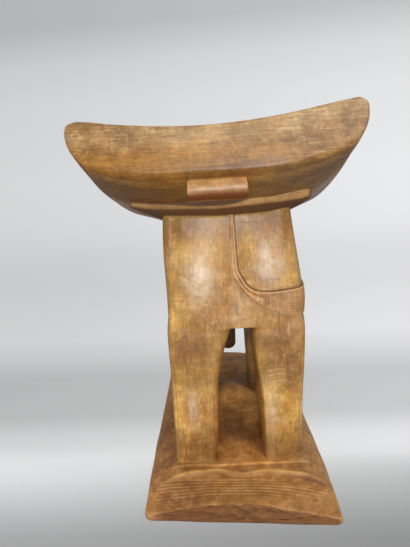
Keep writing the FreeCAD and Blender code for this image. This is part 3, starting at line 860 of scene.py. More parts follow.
def base_crown(x, y):
    """Lower tier: one crown up to the upper tier's ends, from there blending to a
    lower crown whose corners are thin."""
    across, along = squared(x, y, BASE_SHIFT, END_LEAN)
    side = np.clip(np.abs(across) / BASE_HALF_WIDTH, 0, 1)
    middle, ends = smooth_through(CROWN_PLACES, MIDDLE_CROWN, side), smooth_through(CROWN_PLACES, END_CROWN, side)
    share = np.clip((np.abs(along) - 178 * MM) / (BASE_HALF_LENGTH - 178 * MM), 0, 1)
    return middle * (1 - share) + ends * share


def tier_end(x, y):
    """How far a place lies inside the upper tier's end edges, which are worn into waves."""
    across, along = squared(x, y, TIER_SHIFT, TIER_LEAN)
    return across, smooth_through(TIER_EDGE_PLACES, TIER_EDGE_REACH, across) - np.abs(along)


def tier_share(x, y):
    """1 on the upper tier and 0 off it. The sides flow out softly, nearer the middle
    beyond the feet. The ends fall over 5.5 mm in the middle and 2.2 mm at the corners."""
    across, inside = tier_end(x, y)
    fall = (2.2 + 3.3 * np.exp(-((across + 16 * MM) / (76 * MM)) ** 6)) * MM
    beyond = smooth_step(162 * MM, 176 * MM, np.abs(y))
    beside = np.abs(across) + beyond * np.where(across > 0, 5, 13) * MM
    return smooth_step(111 * MM, 72 * MM, beside) * smooth_step(-1, 0.3, inside / fall)


def foot_step(x, y):
    """A soft step of 1.8 mm just outside the feet."""
    across, along = own_place(x, y)
    beyond = smooth_step(163.2 * MM, 167 * MM, np.abs(along) + 0.6 * MM * np.sin(across / (13 * MM)))
    return FOOT_STEP * (1 - beyond) * smooth_step(90 * MM, 78 * MM, np.abs(across))


def base_mound(x, y):
    """A low rise between the forelegs, long towards the tail, with its crest aslant: the
    bell 9 mm * exp(-r^2.6), with r the distance in its own sizes. A small bump lies
    behind the hind feet."""
    across, along = own_place(x, y)
    ahead = along - 42 * MM + 0.85 * np.clip(across + 8 * MM, 0, 45 * MM)
    r = np.hypot((across + 8 * MM) / (40 * MM), ahead / np.where(ahead < 0, 70 * MM, 30 * MM))
    bump = np.exp(-((across + 12 * MM) / (15 * MM)) ** 2 - ((along + 118 * MM) / (14 * MM)) ** 2)
    return 9 * MM * np.exp(-r ** 2.6) + 2.5 * MM * bump


def groove_wander(across):
    return 0.3 * MM * np.sin(across / (23 * MM)) + 0.15 * MM * np.sin(across / (9 * MM))


def base_grooves(x, y):
    """Six lines 4.5 mm apart across each end, fainter at the right. Each is a bell-shaped
    dip in the height."""
    across, along = squared(x, y, BASE_SHIFT, END_LEAN)
    place = (np.abs(along) + groove_wander(across) - FIRST_GROOVE) / GROOVE_PITCH
    nearest = np.clip(np.round(place), 0, 5)
    worn = 0.65 + 0.35 * np.sin(across / (31 * MM) + nearest * 1.3 + 2.4) - 0.4 * smooth_step(20 * MM, 80 * MM, across)
    fade = smooth_step(BASE_HALF_WIDTH - 6 * MM, BASE_HALF_WIDTH - 15 * MM, np.abs(across))
    return 0.9 * MM * worn * fade * np.exp(-((place - nearest) * GROOVE_PITCH / (0.8 * MM)) ** 2)


def base_height(x, y):
    """The crown, raised to the upper tier where the tier's share says so."""
    crown = base_crown(x, y)
    raised = crown + (TIER_TOP - FOOT_STEP - crown) * tier_share(x, y)
    return raised + foot_step(x, y) + base_mound(x, y) - base_grooves(x, y)


print("base height in the middle:", round(float(base_height(np.zeros(1), np.zeros(1))[0]), 4))

# %% Base surface


def base_rows():
    """Places along Y: close together at the grooves and the tier's edge."""
    half = np.concatenate([np.linspace(0, 0.156, 54), np.arange(0.1577, 0.1700, 0.0008), np.arange(0.1710, 0.1860, 0.0008),
                           np.arange(0.1864, 0.2126, 0.0005), np.linspace(0.2135, BASE_HALF_LENGTH - 2 * MM, 16)])
    return np.concatenate([-half[:0:-1], half])


def make_base():
    """Loop shares: x from -1 to 1 over the top, then walls and underside. The end
    rows turn over a worn arris and then close in on the face's middle."""
    top = np.linspace(-1, 1, 161)
    top = np.sign(top) * (1 - (1 - np.abs(top)) ** 1.1)
    wall = np.array([0.86, 0.7, 0.5, 0.3, 0.12, 0.03])
    under = np.linspace(1, -1, 41)
    share_x = np.concatenate([top, 0 * wall + 1, under, 0 * wall - 1])
    level = np.concatenate([0 * top + 1, wall, 0 * under, wall[::-1]])
    past, inset = rounded_close(1.4 * MM, 2 * MM, 6)
    rows = base_rows()
    ends = rows[-1] + past
    face = np.linspace(0, 1, 15)[1:]
    y = np.concatenate([0 * face - ends[-1], -ends[::-1], rows, ends, 0 * face + ends[-1]])[:, None]
    drawn = np.concatenate([0 * face + inset[-1], inset[::-1], 0 * rows, inset, 0 * face + inset[-1]])[:, None]
    close = np.concatenate([face[::-1], 0 * ends, 0 * rows, 0 * ends, face])[:, None]
    corner = 11 * MM
    turn_in = np.clip(np.abs(y) - (BASE_HALF_LENGTH - corner), 0, corner)
    half = BASE_HALF_WIDTH - corner + np.sqrt(corner ** 2 - turn_in ** 2) + 1.7 * MM
    square_x = share_x[None, :] * half
    in_grooves = smooth_step(0.176, 0.185, np.abs(y)) * smooth_step(0.224, 0.214, np.abs(y))
    y = y - np.sign(y) * in_grooves * groove_wander(square_x)
    x, y = out_of_square(square_x, y + 0 * square_x)
    height = base_height(x, y)
    edge = np.clip(np.abs(square_x) - (half - 4 * MM), 0, 4 * MM)
    height = height - 0.8 * (4 * MM - np.sqrt((4 * MM) ** 2 - edge ** 2)) - drawn
    z = level[None, :] * height
    z = z + (0.45 * height - z) * close
    face_x, face_y = out_of_square(0 * square_x, np.sign(y) * ends[-1])
    return np.stack([x + (face_x - x) * close, y + (face_y - y) * close, z], axis=-1)


def roughen_ends(points):
    """Splits and chips on the end faces and along the near top edge: waves of a few
    millimetres that push inwards only."""
    x, y, z = points.T
    across, along = squared(x, y, BASE_SHIFT, END_LEAN)
    near = smooth_step(BASE_HALF_LENGTH - 4 * MM, BASE_HALF_LENGTH - 0.5 * MM, -along)
    far = smooth_step(BASE_HALF_LENGTH - 3 * MM, BASE_HALF_LENGTH - 0.5 * MM, along)
    flake = (np.sin(x / (5.1 * MM) + 2.2 * np.sin(x / (13 * MM)) + z / (2.3 * MM))
             + 0.8 * np.sin(x / (2.3 * MM) + 3 * np.sin(z / (3.1 * MM)) + 1)
             + 0.9 * np.sin(z / (1.9 * MM) + 2.6 * np.sin(x / (21 * MM))))
    deep = (2.7 + flake) / 5.4 * smooth_step(1 * MM, 5 * MM, z)
    chips = np.clip(np.sin(x / (7.3 * MM) + 1.7 * np.sin(x / (19 * MM))) - 0.1, 0, 1) ** 1.5
    edge = np.exp(-((BASE_HALF_LENGTH + along) / (3.2 * MM)) ** 2)
    y = y + near * deep * 3.6 * MM - far * deep * 0.9 * MM
    z = z - np.where(z > 6 * MM, edge * chips * 2.0 * MM, 0)
    return np.stack([x, y, z], axis=-1), near * smooth_step(-106 * MM, -90 * MM, across) + far


base_grid = make_base()
base_points = base_grid.reshape(-1, 3)
foot = base_points[:, 2] < 1 * MM
own_x, own_y = own_place(base_points[:, 0], base_points[:, 1])
tier_across, tier_inside = tier_end(base_points[:, 0], base_points[:, 1])
# Partly painted highlight: the upper tier's worn end ridge, paler in the finish.
ridge = np.exp(-((tier_inside - 0.8 * MM) / (2.0 * MM)) ** 2) * smooth_step(-90 * MM, -78 * MM, tier_across)
ridge = ridge * smooth_step(82 * MM, 70 * MM, tier_across)
# Painted shade on the riser of the upper tier's step.
riser = np.exp(-((tier_inside + 1.6 * MM) / (2.0 * MM)) ** 2) * smooth_step(100 * MM, 94 * MM, tier_across)
riser = riser * (0.35 + 0.65 * smooth_step(66 * MM, 80 * MM, tier_across)) * smooth_step(-90 * MM, -78 * MM, tier_across)
# Painted light between the legs: the floor right of the mound, the mound's crest and the floor before the hind feet.
floor_right = 0.8 * np.exp(-((own_x - 25 * MM) / (14 * MM)) ** 4 - ((own_y + 52 * MM) / (34 * MM)) ** 2)
crest = np.exp(-((own_x - 6 * MM) / (30 * MM)) ** 4 - ((own_y - 8 * MM) / (40 * MM)) ** 2)
threshold = np.exp(-((own_x - 2 * MM) / (60 * MM)) ** 4 - ((own_y + 135 * MM) / (38 * MM)) ** 2)
base_points, torn = roughen_ends(base_points)
wavy_points = carved_wobble(base_points, 0.35 * MM, 15, 30, 120)
wavy_points[:, 0] = np.clip(wavy_points[:, 0], plate_low[0], plate_high[0])
wavy_points[:, 1] = np.clip(wavy_points[:, 1], plate_low[1], plate_high[1])
wavy_points[foot, 2] = 0
wavy_points[:, 2] = np.maximum(wavy_points[:, 2], 0)
base = make_piece("carved_base", wavy_points, grid_faces(*base_grid.shape[:2]),
                  {"dull": np.maximum(torn, riser), "torn": torn, "ridge": ridge, "riser": riser,
                   "painted_floor_light": np.maximum(np.maximum(crest, threshold), floor_right),
                   "lit_floor": np.maximum(crest, floor_right)})
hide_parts("base_tier", "base_plate")
mark_wear(base, 0.5 * MM, 6)
print("base:", len(base.data.polygons), "faces")

# %% [markdown]
# ## Wood finishes
# Old carved wood is not one colour. Growth rings run through the block, and hands
# and wax leave paler and darker patches. Arrises are rubbed pale, while dirt stays
# in the hollows. One node group works all this out from the object's own
# coordinates, so the figure runs on from the seat to the legs and base as in a real
# block. Each finish places the group with its own colours. An image of wood
# would repeat and would need an unwrapped surface.

# %% Node helpers


def feed(tree, socket, value):
    """Links a socket, or sets its plain value."""
    if isinstance(value, bpy.types.NodeSocket):
        tree.links.new(value, socket)
    else:
        socket.default_value = value


def add(tree, kind, settings={}, inputs={}):
    made = tree.nodes.new("ShaderNode" + kind)
    for key, value in settings.items():
        setattr(made, key, value)
    for key, value in inputs.items():
        feed(tree, made.inputs[key], value)
    return made


def calc(tree, operation, *values):
    """One Math node: returns its result."""
    return add(tree, "Math", {"operation": operation}, dict(enumerate(values))).outputs[0]


def ramp(tree, value, low, high, start=0.0, end=1.0):
    """Smooth step of a value from low to high, mapped to start and end."""
    node = add(tree, "MapRange", {"interpolation_type": "SMOOTHSTEP"},
               {0: value, 1: low, 2: high, 3: start, 4: end})
    return node.outputs[0]


def mix(tree, factor, first, second, way="MIX"):
    node = add(tree, "Mix", {"data_type": "RGBA", "blend_type": way}, {0: factor, 6: first, 7: second})
    return node.outputs[2]


def noise(tree, vector, scale, detail=3.0, roughness=0.55):
    return add(tree, "TexNoise", {}, {"Vector": vector, "Scale": scale, "Detail": detail,
                                      "Roughness": roughness}).outputs["Fac"]


def stretched(tree, vector, scale, turn=(0, 0, 0), place=(0, 0, 0)):
    """The coordinates scaled, turned and moved by a Mapping node."""
    return add(tree, "Mapping", {}, {"Vector": vector, "Scale": scale, "Rotation": turn,
                                     "Location": place}).outputs[0]


def colour(red, green, blue):
    """Screen colour 0-255 to the linear colour that nodes use."""
    share = np.array([red, green, blue]) / 255
    linear = np.where(share <= 0.04045, share / 12.92, ((share + 0.055) / 1.055) ** 2.4)
    return (*linear.tolist(), 1.0)


SOCKETS = {"number": "NodeSocketFloat", "colour": "NodeSocketColor", "vector": "NodeSocketVector"}


def new_group(name, inputs, outputs):
    """An empty node group with named sockets."""
    group = bpy.data.node_groups.new(name, "ShaderNodeTree")
    for label, kind in inputs:
        group.interface.new_socket(label, in_out="INPUT", socket_type=SOCKETS[kind])
    for label, kind in outputs:
        group.interface.new_socket(label, in_out="OUTPUT", socket_type=SOCKETS[kind])
    start, end = group.nodes.new("NodeGroupInput"), group.nodes.new("NodeGroupOutput")
    return group, start.outputs, end.inputs


def use_group(tree, group, inputs):
    node = tree.nodes.new("ShaderNodeGroup")
    node.node_tree = group
    for key, value in inputs.items():
        feed(tree, node.inputs[key], value)
    return node.outputs


print("node helpers ready")

# %% [markdown]
# ### The figure of the block
# Growth rings are shells around a core that lies above the seat and runs along Y, so
# they show as nearly level lines on every face that looks along Y. Their
# distance from the core feeds a one-way noise, which gives rings of uneven width. Fibres
# are a noise stretched along Y. Patches and mottle are noises of 70 mm and 15 mm.

# %% Carved wood group


def carved_wood():
    tree, given, result = new_group(
        "carved_wood",
        [("Vector", "vector"), ("Grain", "vector"), ("Pale", "colour"), ("Main", "colour"), ("Deep", "colour"),
         ("Stain", "colour"), ("Worn", "number"), ("Hollow", "number"), ("Ring Strength", "number")],
        [("Color", "colour"), ("Gloss", "number"), ("Height", "number")])
    place = given["Vector"]
    sway = add(tree, "TexNoise", {}, {"Vector": place, "Scale": 7.0, "Detail": 2.0}).outputs["Color"]
    sway = add(tree, "VectorMath", {"operation": "MULTIPLY_ADD"}, {0: sway, 1: (0.03, 0.03, 0.03), 2: place})
    split = add(tree, "SeparateXYZ", {}, {0: sway.outputs[0]})
    below = calc(tree, "SUBTRACT", split.outputs[2], 0.78)
    core = calc(tree, "SQRT", calc(tree, "ADD", calc(tree, "POWER", split.outputs[0], 2.0), calc(tree, "POWER", below, 2.0)))
    rings = add(tree, "TexNoise", {"noise_dimensions": "1D"},
                {"W": calc(tree, "MULTIPLY", core, 420.0), "Scale": 1.0, "Detail": 2.0}).outputs["Fac"]
    clouds = noise(tree, place, 11.0, 3.0, 0.5)
    patches = noise(tree, stretched(tree, place, (32, 32, 40)), 1.0, 5.0, 0.65)
    mottle = noise(tree, place, 80.0, 5.0, 0.75)
    flecks = noise(tree, place, 260.0, 4.0, 0.75)
    streaks = noise(tree, given["Grain"], 1.0, 4.0, 0.7)
    tone = mix(tree, ramp(tree, clouds, 0.36, 0.58), given["Deep"], given["Main"])
    tone = mix(tree, ramp(tree, patches, 0.50, 0.74, 0.0, 0.55), tone, given["Pale"])
    tone = mix(tree, ramp(tree, patches, 0.46, 0.28, 0.0, 0.5), tone, given["Deep"])
    tone = mix(tree, ramp(tree, mottle, 0.50, 0.70, 0.0, 0.40), tone, given["Pale"])
    tone = mix(tree, ramp(tree, mottle, 0.47, 0.30, 0.0, 0.60), tone, given["Deep"])
    lines = calc(tree, "MULTIPLY", ramp(tree, rings, 0.42, 0.60), given["Ring Strength"])
    tone = mix(tree, calc(tree, "MULTIPLY", lines, 0.5), tone, given["Deep"])
    level = calc(tree, "MULTIPLY", ramp(tree, streaks, 0.52, 0.68), given["Ring Strength"])
    tone = mix(tree, level, tone, given["Stain"])
    tone = mix(tree, ramp(tree, streaks, 0.46, 0.34, 0.0, 0.35), tone, given["Pale"])
    tone = mix(tree, ramp(tree, flecks, 0.55, 0.68, 0.0, 0.40), tone, given["Stain"])
    tone = mix(tree, ramp(tree, flecks, 0.45, 0.33, 0.0, 0.45), tone, given["Pale"])
    rubbed = calc(tree, "MULTIPLY", given["Worn"], ramp(tree, mottle, 0.3, 0.6, 0.45, 0.85))
    tone = mix(tree, rubbed, tone, given["Pale"])
    dirt = calc(tree, "MULTIPLY", given["Hollow"], ramp(tree, patches, 0.3, 0.6, 0.95, 0.65))
    feed(tree, result["Color"], mix(tree, dirt, tone, given["Stain"]))
    gloss = calc(tree, "MULTIPLY", ramp(tree, clouds, 0.3, 0.6, 0.7, 1.0), ramp(tree, mottle, 0.65, 0.40, 0.5, 1.0))
    feed(tree, result["Gloss"], gloss)
    height = calc(tree, "MULTIPLY_ADD", rings, 0.1, calc(tree, "MULTIPLY", streaks, 0.25))
    feed(tree, result["Height"], calc(tree, "MULTIPLY_ADD", mottle, 0.4, calc(tree, "MULTIPLY_ADD", flecks, 0.2, height)))
    return tree


wood_group = carved_wood()
print("wood group nodes:", len(wood_group.nodes))

# %% [markdown]
# ### Hairlines
# A few fine cracks and scratches cross the rump and seat. A crack is a thin line
# in its own coordinates: x along it, z across it. A Mapping node puts those
# coordinates where the crack is, and a noise makes the line wander.

# %% Hairline group


def hairline():
    tree, given, result = new_group(
        "hairline", [("Vector", "vector"), ("Half Length", "number"), ("Width", "number"), ("Bend", "number")],
        [("Mask", "number")])
    split = add(tree, "SeparateXYZ", {}, {0: given["Vector"]})
    along, depth, across = split.outputs
    wander = calc(tree, "MULTIPLY", calc(tree, "SUBTRACT", noise(tree, given["Vector"], 160.0, 2.0), 0.5), 0.004)
    bow = calc(tree, "MULTIPLY", calc(tree, "POWER", calc(tree, "DIVIDE", along, given["Half Length"]), 2.0), given["Bend"])
    off = calc(tree, "ABSOLUTE", calc(tree, "ADD", calc(tree, "SUBTRACT", across, bow), wander))
    share = calc(tree, "DIVIDE", calc(tree, "ABSOLUTE", along), given["Half Length"])
    line = calc(tree, "SUBTRACT", 1.0, calc(tree, "DIVIDE", off, given["Width"]))
    fade = ramp(tree, share, 0.6, 1.0, 1.0, 0.0)
    near = ramp(tree, calc(tree, "ABSOLUTE", depth), 0.03, 0.04, 1.0, 0.0)
    mask = calc(tree, "MULTIPLY", calc(tree, "MULTIPLY", calc(tree, "MAXIMUM", line, 0.0), fade), near)
    feed(tree, result["Mask"], mask)
    return tree


hairline_group = hairline()


def crack(tree, vector, start, end, y, width, bend=0.0):
    """Mask of one crack from start to end, given as (x, z) on a face near y."""
    middle = [(start[0] + end[0]) / 2 * MM, y * MM, (start[1] + end[1]) / 2 * MM]
    slope = math.atan2(end[1] - start[1], end[0] - start[0])
    own = add(tree, "Mapping", {"vector_type": "TEXTURE"},
              {"Vector": vector, "Location": middle, "Rotation": (0, -slope, 0)}).outputs[0]
    half = math.hypot(end[0] - start[0], end[1] - start[1]) / 2 * MM
    return use_group(tree, hairline_group, {"Vector": own, "Half Length": half, "Width": width * MM,
                                            "Bend": bend * MM})["Mask"]


print("hairline group nodes:", len(hairline_group.nodes))

# %% [markdown]
# ### One finish per part
# Every finish starts from the same group with its own four colours: pale where it
# is rubbed, main, deep, and a stain for hollows. The satin sheen of old wax
# comes from a middling roughness under a thin coat.

# %% Finish builder


def read_mask(tree, name):
    return add(tree, "Attribute", {"attribute_name": name}).outputs["Fac"]


def wood_finish(name, pale, main, deep, stain, rings, grain, marks, coat=0.35):
    """Wood colours, then the part's own marks, into one satin surface."""
    material = bpy.data.materials.new(name)
    material.use_nodes = True
    tree = material.node_tree
    surface = tree.nodes["Principled BSDF"]
    place = add(tree, "TexCoord").outputs["Object"]
    along_grain = stretched(tree, place, grain)
    wood = use_group(tree, wood_group, {
        "Vector": place, "Grain": along_grain, "Pale": colour(*pale), "Main": colour(*main), "Deep": colour(*deep),
        "Stain": colour(*stain), "Worn": read_mask(tree, "worn"), "Hollow": read_mask(tree, "hollow"),
        "Ring Strength": rings})
    patches = ramp(tree, noise(tree, place, 60.0, 4.0, 0.65), 0.36, 0.64, 0.82, 1.15)
    streaks = ramp(tree, noise(tree, along_grain, 1.6, 4.0, 0.75), 0.36, 0.64, 0.87, 1.12)
    tone = mix(tree, 1.0, wood["Color"], calc(tree, "MULTIPLY", patches, streaks), "MULTIPLY")
    tone, height = marks(tree, place, tone, wood["Height"])
    feed(tree, surface.inputs["Base Color"], tone)
    dull = read_mask(tree, "dull")
    rough = ramp(tree, wood["Gloss"], 0.35, 0.9, 0.46, 0.31)
    feed(tree, surface.inputs["Roughness"], calc(tree, "MULTIPLY_ADD", dull, 0.45, rough))
    bump = add(tree, "Bump", {}, {"Height": height, "Strength": 0.35, "Distance": 0.0012})
    feed(tree, surface.inputs["Normal"], bump.outputs[0])
    feed(tree, surface.inputs["Coat Weight"], calc(tree, "MULTIPLY_ADD", dull, -coat, coat))
    surface.inputs["Coat Roughness"].default_value = 0.3
    surface.inputs["Specular IOR Level"].default_value = 0.42
    return material


def darken(tree, tone, height, mask, shade, depth=1.0):
    """Lays a dark line over the colour and sinks it in the height."""
    return mix(tree, mask, tone, shade), calc(tree, "SUBTRACT", height, calc(tree, "MULTIPLY", mask, depth))


DARK_LINE = colour(84, 50, 26)
LEVEL_GRAIN, UPRIGHT_GRAIN = (40, 60, 480), (420, 420, 40)


def level_mask(tree, place, low, high):
    """Smooth step over the height above the floor, in millimetres."""
    return ramp(tree, add(tree, "SeparateXYZ", {}, {0: place}).outputs[2], low * MM, high * MM)


def leg_bevels(tree, place, tone):
    """The long arrises of the hind legs: painted shade on the bevel inside, which turns from
    the light, a darker line 6 mm in from each arris, and a rubbed pale line outside."""
    low = level_mask(tree, place, 196, 165)
    inner, outer = read_mask(tree, "inner_edge"), read_mask(tree, "outer_edge")
    # Painted shade on the inner bevel.
    tone = mix(tree, calc(tree, "MULTIPLY", ramp(tree, inner, 7.5, 5.0), low), tone, (0.80, 0.64, 0.46, 1.0), "MULTIPLY")
    for edge, strength in ((inner, 0.3), (outer, 0.3)):
        beside = calc(tree, "ABSOLUTE", calc(tree, "SUBTRACT", edge, 6.3))
        tone = mix(tree, calc(tree, "MULTIPLY", ramp(tree, beside, 1.6, 0.2, 0.0, strength), low), tone, colour(120, 74, 36))
    rubbed = calc(tree, "MULTIPLY", ramp(tree, outer, 2.4, 0.9, 0.0, 0.6), low)
    return mix(tree, rubbed, tone, colour(232, 196, 146))


def rump_marks(tree, place, tone, height):
    """Painted light and shade on the skin: painted highlights on the buttocks and shins, a
    lighter left flank, painted shade on the inner bevels of the hind legs, under the seat,
    under the belly and on the trunk's back, and as the incised line and a soft shade along
    the tail. Also darker thighs and feet, a few cracks, a knot and pale knee wrinkles.
    """
    thigh = calc(tree, "MULTIPLY", level_mask(tree, place, 225, 180), level_mask(tree, place, 110, 150))
    tone = mix(tree, thigh, tone, (0.63, 0.58, 0.46, 1.0), "MULTIPLY")
    # Painted shade under the seat: the top of the rump is darker.
    tone = mix(tree, level_mask(tree, place, 295, 325), tone, (0.78, 0.72, 0.50, 1.0), "MULTIPLY")
    side = add(tree, "SeparateXYZ", {}, {0: place}).outputs[0]
    # Painted light: the left flank, turned from the key lamp, is lighter.
    tone = mix(tree, ramp(tree, side, -46 * MM, -66 * MM), tone, (1.16, 1.14, 1.02, 1.0), "MULTIPLY")
    # Painted highlight on the buttocks and shins, broken up by a noise.
    highlight_breakup = ramp(tree, noise(tree, place, 90.0, 4.0, 0.75), 0.60, 0.42, 0.40, 0.80)
    tone = mix(tree, calc(tree, "MULTIPLY", read_mask(tree, "painted_highlight"), highlight_breakup), tone, colour(224, 204, 180))
    tone = leg_bevels(tree, place, tone)
    # Painted shade under the belly.
    tone = mix(tree, read_mask(tree, "painted_belly_shade"), tone, (0.50, 0.42, 0.36, 1.0), "MULTIPLY")
    # Painted shade: a dark line for the incised cut beside the tail's upper edge, also sunk in the bump, and a soft
    # shade beside its lower edge.
    beside = ramp(tree, read_mask(tree, "upper_gap"), 2.4, 0.4, 0.0, 0.85)
    tone, height = darken(tree, tone, height, beside, DARK_LINE, 1.2)
    under = ramp(tree, read_mask(tree, "lower_gap"), 8.0, 0.5, 0.0, 0.42)
    tone = mix(tree, under, tone, colour(128, 84, 44))
    tone = mix(tree, level_mask(tree, place, 100, 40), tone, (0.62, 0.54, 0.46, 1.0), "MULTIPLY")
    right_foot = calc(tree, "MULTIPLY", level_mask(tree, place, 100, 40), ramp(tree, side, 0.0, 40 * MM))
    tone = mix(tree, right_foot, tone, (0.78, 0.76, 0.76, 1.0), "MULTIPLY")
    # Painted shade on the trunk's back, where the dull mask lies.
    tone = mix(tree, calc(tree, "MULTIPLY", read_mask(tree, "dull"), 0.9), tone, colour(58, 33, 18))
    lines = [((-55, 275), (-21, 257), 0.7, 0, 0.55), ((-67, 241), (-43, 240), 0.8, 0, 0.35),
             ((36, 224), (35, 205), 0.6, 0, 0.5), ((20, 329), (45, 327), 0.6, 0, 0.3), ((50, 261), (63, 261), 1.1, 1.5, 0.45),
             ((-63, 187), (-48, 199), 1.1, 0, 0.45), ((-40, 318), (-22, 300), 0.6, 0, 0.25), ((60, 89), (61, 87), 1.6, 0, 0.7),
             ((8, 235), (-4, 214), 0.7, 0, 0.3), ((20, 232), (4, 212), 0.7, 0, 0.25),
             ((62, 249), (69, 252.5), 0.9, 0, 0.8), ((68, 252.5), (76, 250), 0.9, 0, 0.8), ((75, 250), (89, 252), 0.9, 0, 0.8)]
    for start, end, width, bend, strength in lines:
        mask = crack(tree, place, start, end, -160, width, bend)
        tone, height = darken(tree, tone, height, calc(tree, "MULTIPLY", mask, strength), DARK_LINE)
    for low in (149.5, 143.5, 134.5):
        mask = crack(tree, place, (43, low), (71, low + 1), -160, 1.2, -2.0)
        tone = mix(tree, calc(tree, "MULTIPLY", mask, 0.5), tone, colour(218, 182, 126))
    return tone, height


def tail_marks(tree, place, tone, height):
    """A pale ridge along the upper edge, partly wear and partly a painted highlight, dark cuts in
    the tuft, and a dark line at the very edge, painted as the shade of the incised cut.
    """
    # Pale ridge: partly wear, partly a painted highlight.
    ridge = ramp(tree, read_mask(tree, "rim"), 3.0, 1.4, 0.0, 0.7)
    tone = mix(tree, ridge, tone, colour(214, 170, 116))
    tone, height = darken(tree, tone, height, calc(tree, "MULTIPLY", read_mask(tree, "cuts"), 0.62), DARK_LINE, 0.3)
    # Painted shade of the incised cut at the very edge.
    rim = ramp(tree, read_mask(tree, "rim"), 0.6, 0.1, 0.0, 0.7)
    return mix(tree, rim, tone, DARK_LINE), height


def seat_marks(tree, place, tone, height):
    """Warm orange low on the end faces, most at the left, and darker on the ends' lower arris
    and at the right edge. The underside is painted shade, and over the elephant it has a
    greyer, paler painted sheen of the floor's light."""
    up = read_mask(tree, "share_up")
    split = add(tree, "SeparateXYZ", {}, {0: place})
    away = calc(tree, "ABSOLUTE", split.outputs[1])
    left = ramp(tree, split.outputs[0], 85 * MM, 0.0, 0.5, 1.0)
    tone = mix(tree, calc(tree, "MULTIPLY", ramp(tree, up, 0.66, 0.30), left), tone, (0.76, 0.56, 0.20, 1.0), "MULTIPLY")
    low_end = calc(tree, "MULTIPLY", ramp(tree, up, 0.30, 0.04), ramp(tree, away, 254 * MM, 258 * MM))
    tone = mix(tree, low_end, tone, (0.66, 0.60, 0.54, 1.0), "MULTIPLY")
    tip = ramp(tree, split.outputs[0], 92 * MM, 124 * MM)
    tone = mix(tree, tip, tone, (0.84, 0.78, 0.74, 1.0), "MULTIPLY")
    # Painted shade on the underside, fading out near the ends.
    under = calc(tree, "MULTIPLY", ramp(tree, up, 0.45, 0.20), ramp(tree, away, 254 * MM, 238 * MM))
    tone = mix(tree, under, tone, (0.56, 0.52, 0.52, 1.0), "MULTIPLY")
    # Painted sheen of the floor's light on the underside over the elephant.
    pale = calc(tree, "MULTIPLY", ramp(tree, away, 205 * MM, 170 * MM), ramp(tree, up, 0.7, 0.35, 0.0, 0.85))
    return mix(tree, pale, tone, colour(186, 162, 140)), height


def lug_marks(tree, place, tone, height):
    """Orange above and dark red-brown below, the lower half's shade painted into the colour."""
    # Painted shade on the lower half of the nose.
    return mix(tree, level_mask(tree, place, 368, 361), tone, colour(106, 52, 10)), height


def base_marks(tree, place, tone, height):
    """Painted light between the legs: on the mound's crest, on the floor at the right and before
    the hind feet. Painted light on the right side, the left side and the far part, and painted
    shade on the tier's riser. The lowest 8 mm are darker. The tier's worn end ridge is paler,
    partly as a painted highlight. The split end faces are dark, with darker cracks along the grain."""
    torn = read_mask(tree, "torn")
    rough = noise(tree, place, 70.0, 4.0, 0.7)
    split = add(tree, "SeparateXYZ", {}, {0: place}).outputs
    # Painted light between the legs.
    tone = mix(tree, read_mask(tree, "painted_floor_light"), tone, (1.55, 1.5, 1.35, 1.0), "MULTIPLY")
    tone = mix(tree, read_mask(tree, "lit_floor"), tone, (1.45, 1.6, 1.7, 1.0), "MULTIPLY")
    tone = mix(tree, level_mask(tree, place, 8, 1), tone, (0.70, 0.64, 0.58, 1.0), "MULTIPLY")
    # Painted sheen on the right side, and painted light on the left side and the far part.
    right = calc(tree, "MULTIPLY", ramp(tree, split[0], 70 * MM, 92 * MM), ramp(tree, split[1], -186 * MM, -172 * MM))
    tone = mix(tree, right, tone, (1.30, 1.40, 1.56, 1.0), "MULTIPLY")
    tone = mix(tree, ramp(tree, split[0], -66 * MM, -86 * MM), tone, (1.14, 1.10, 1.06, 1.0), "MULTIPLY")
    tone = mix(tree, ramp(tree, split[1], 60 * MM, 95 * MM), tone, (1.18, 1.24, 1.45, 1.0), "MULTIPLY")
    # Painted shade on the riser.
    tone = mix(tree, calc(tree, "MULTIPLY", read_mask(tree, "riser"), 0.9), tone, colour(112, 68, 40))
    # The worn ridge is paler, partly as a painted highlight.
    pale = calc(tree, "MULTIPLY", read_mask(tree, "ridge"), ramp(tree, rough, 0.42, 0.56, 0.15, 0.75))
    tone = mix(tree, pale, tone, colour(222, 172, 96))
    tone = mix(tree, calc(tree, "MULTIPLY", torn, 0.85), tone, colour(112, 70, 34))
    splits = noise(tree, stretched(tree, place, (60, 60, 500)), 1.0, 4.0, 0.7)
    mask = calc(tree, "MULTIPLY", torn, ramp(tree, splits, 0.50, 0.66, 0.0, 0.6))
    return darken(tree, tone, height, mask, colour(70, 40, 20), 0.8)


def ledge_marks(tree, place, tone, height):
    """The whole panel is toned down. Only the end walls stay pale, and of them only a strip that
    is narrow in the middle and wide at the right. The rest is painted shade: the crevice under
    the seat above the strip, and the panel's underside."""
    split = add(tree, "SeparateXYZ", {}, {0: place}).outputs
    wide = calc(tree, "ADD", ramp(tree, split[0], 12 * MM, 42 * MM, 2.6, 8.0), ramp(tree, split[0], -25 * MM, -60 * MM, 0.0, 1.8))
    above = ramp(tree, calc(tree, "SUBTRACT", read_mask(tree, "rise"), wide), -0.8, 0.8, 0.0, 0.85)
    tone = mix(tree, 1.0, tone, (0.72, 0.66, 0.56, 1.0), "MULTIPLY")
    # Painted shade in the crevice under the seat and on the underside.
    tone = mix(tree, above, tone, colour(84, 52, 28))
    away = calc(tree, "ABSOLUTE", split[1])
    return mix(tree, ramp(tree, away, 204.5 * MM, 201.5 * MM, 0.0, 0.85), tone, colour(104, 66, 38)), height


print("finish builder ready")

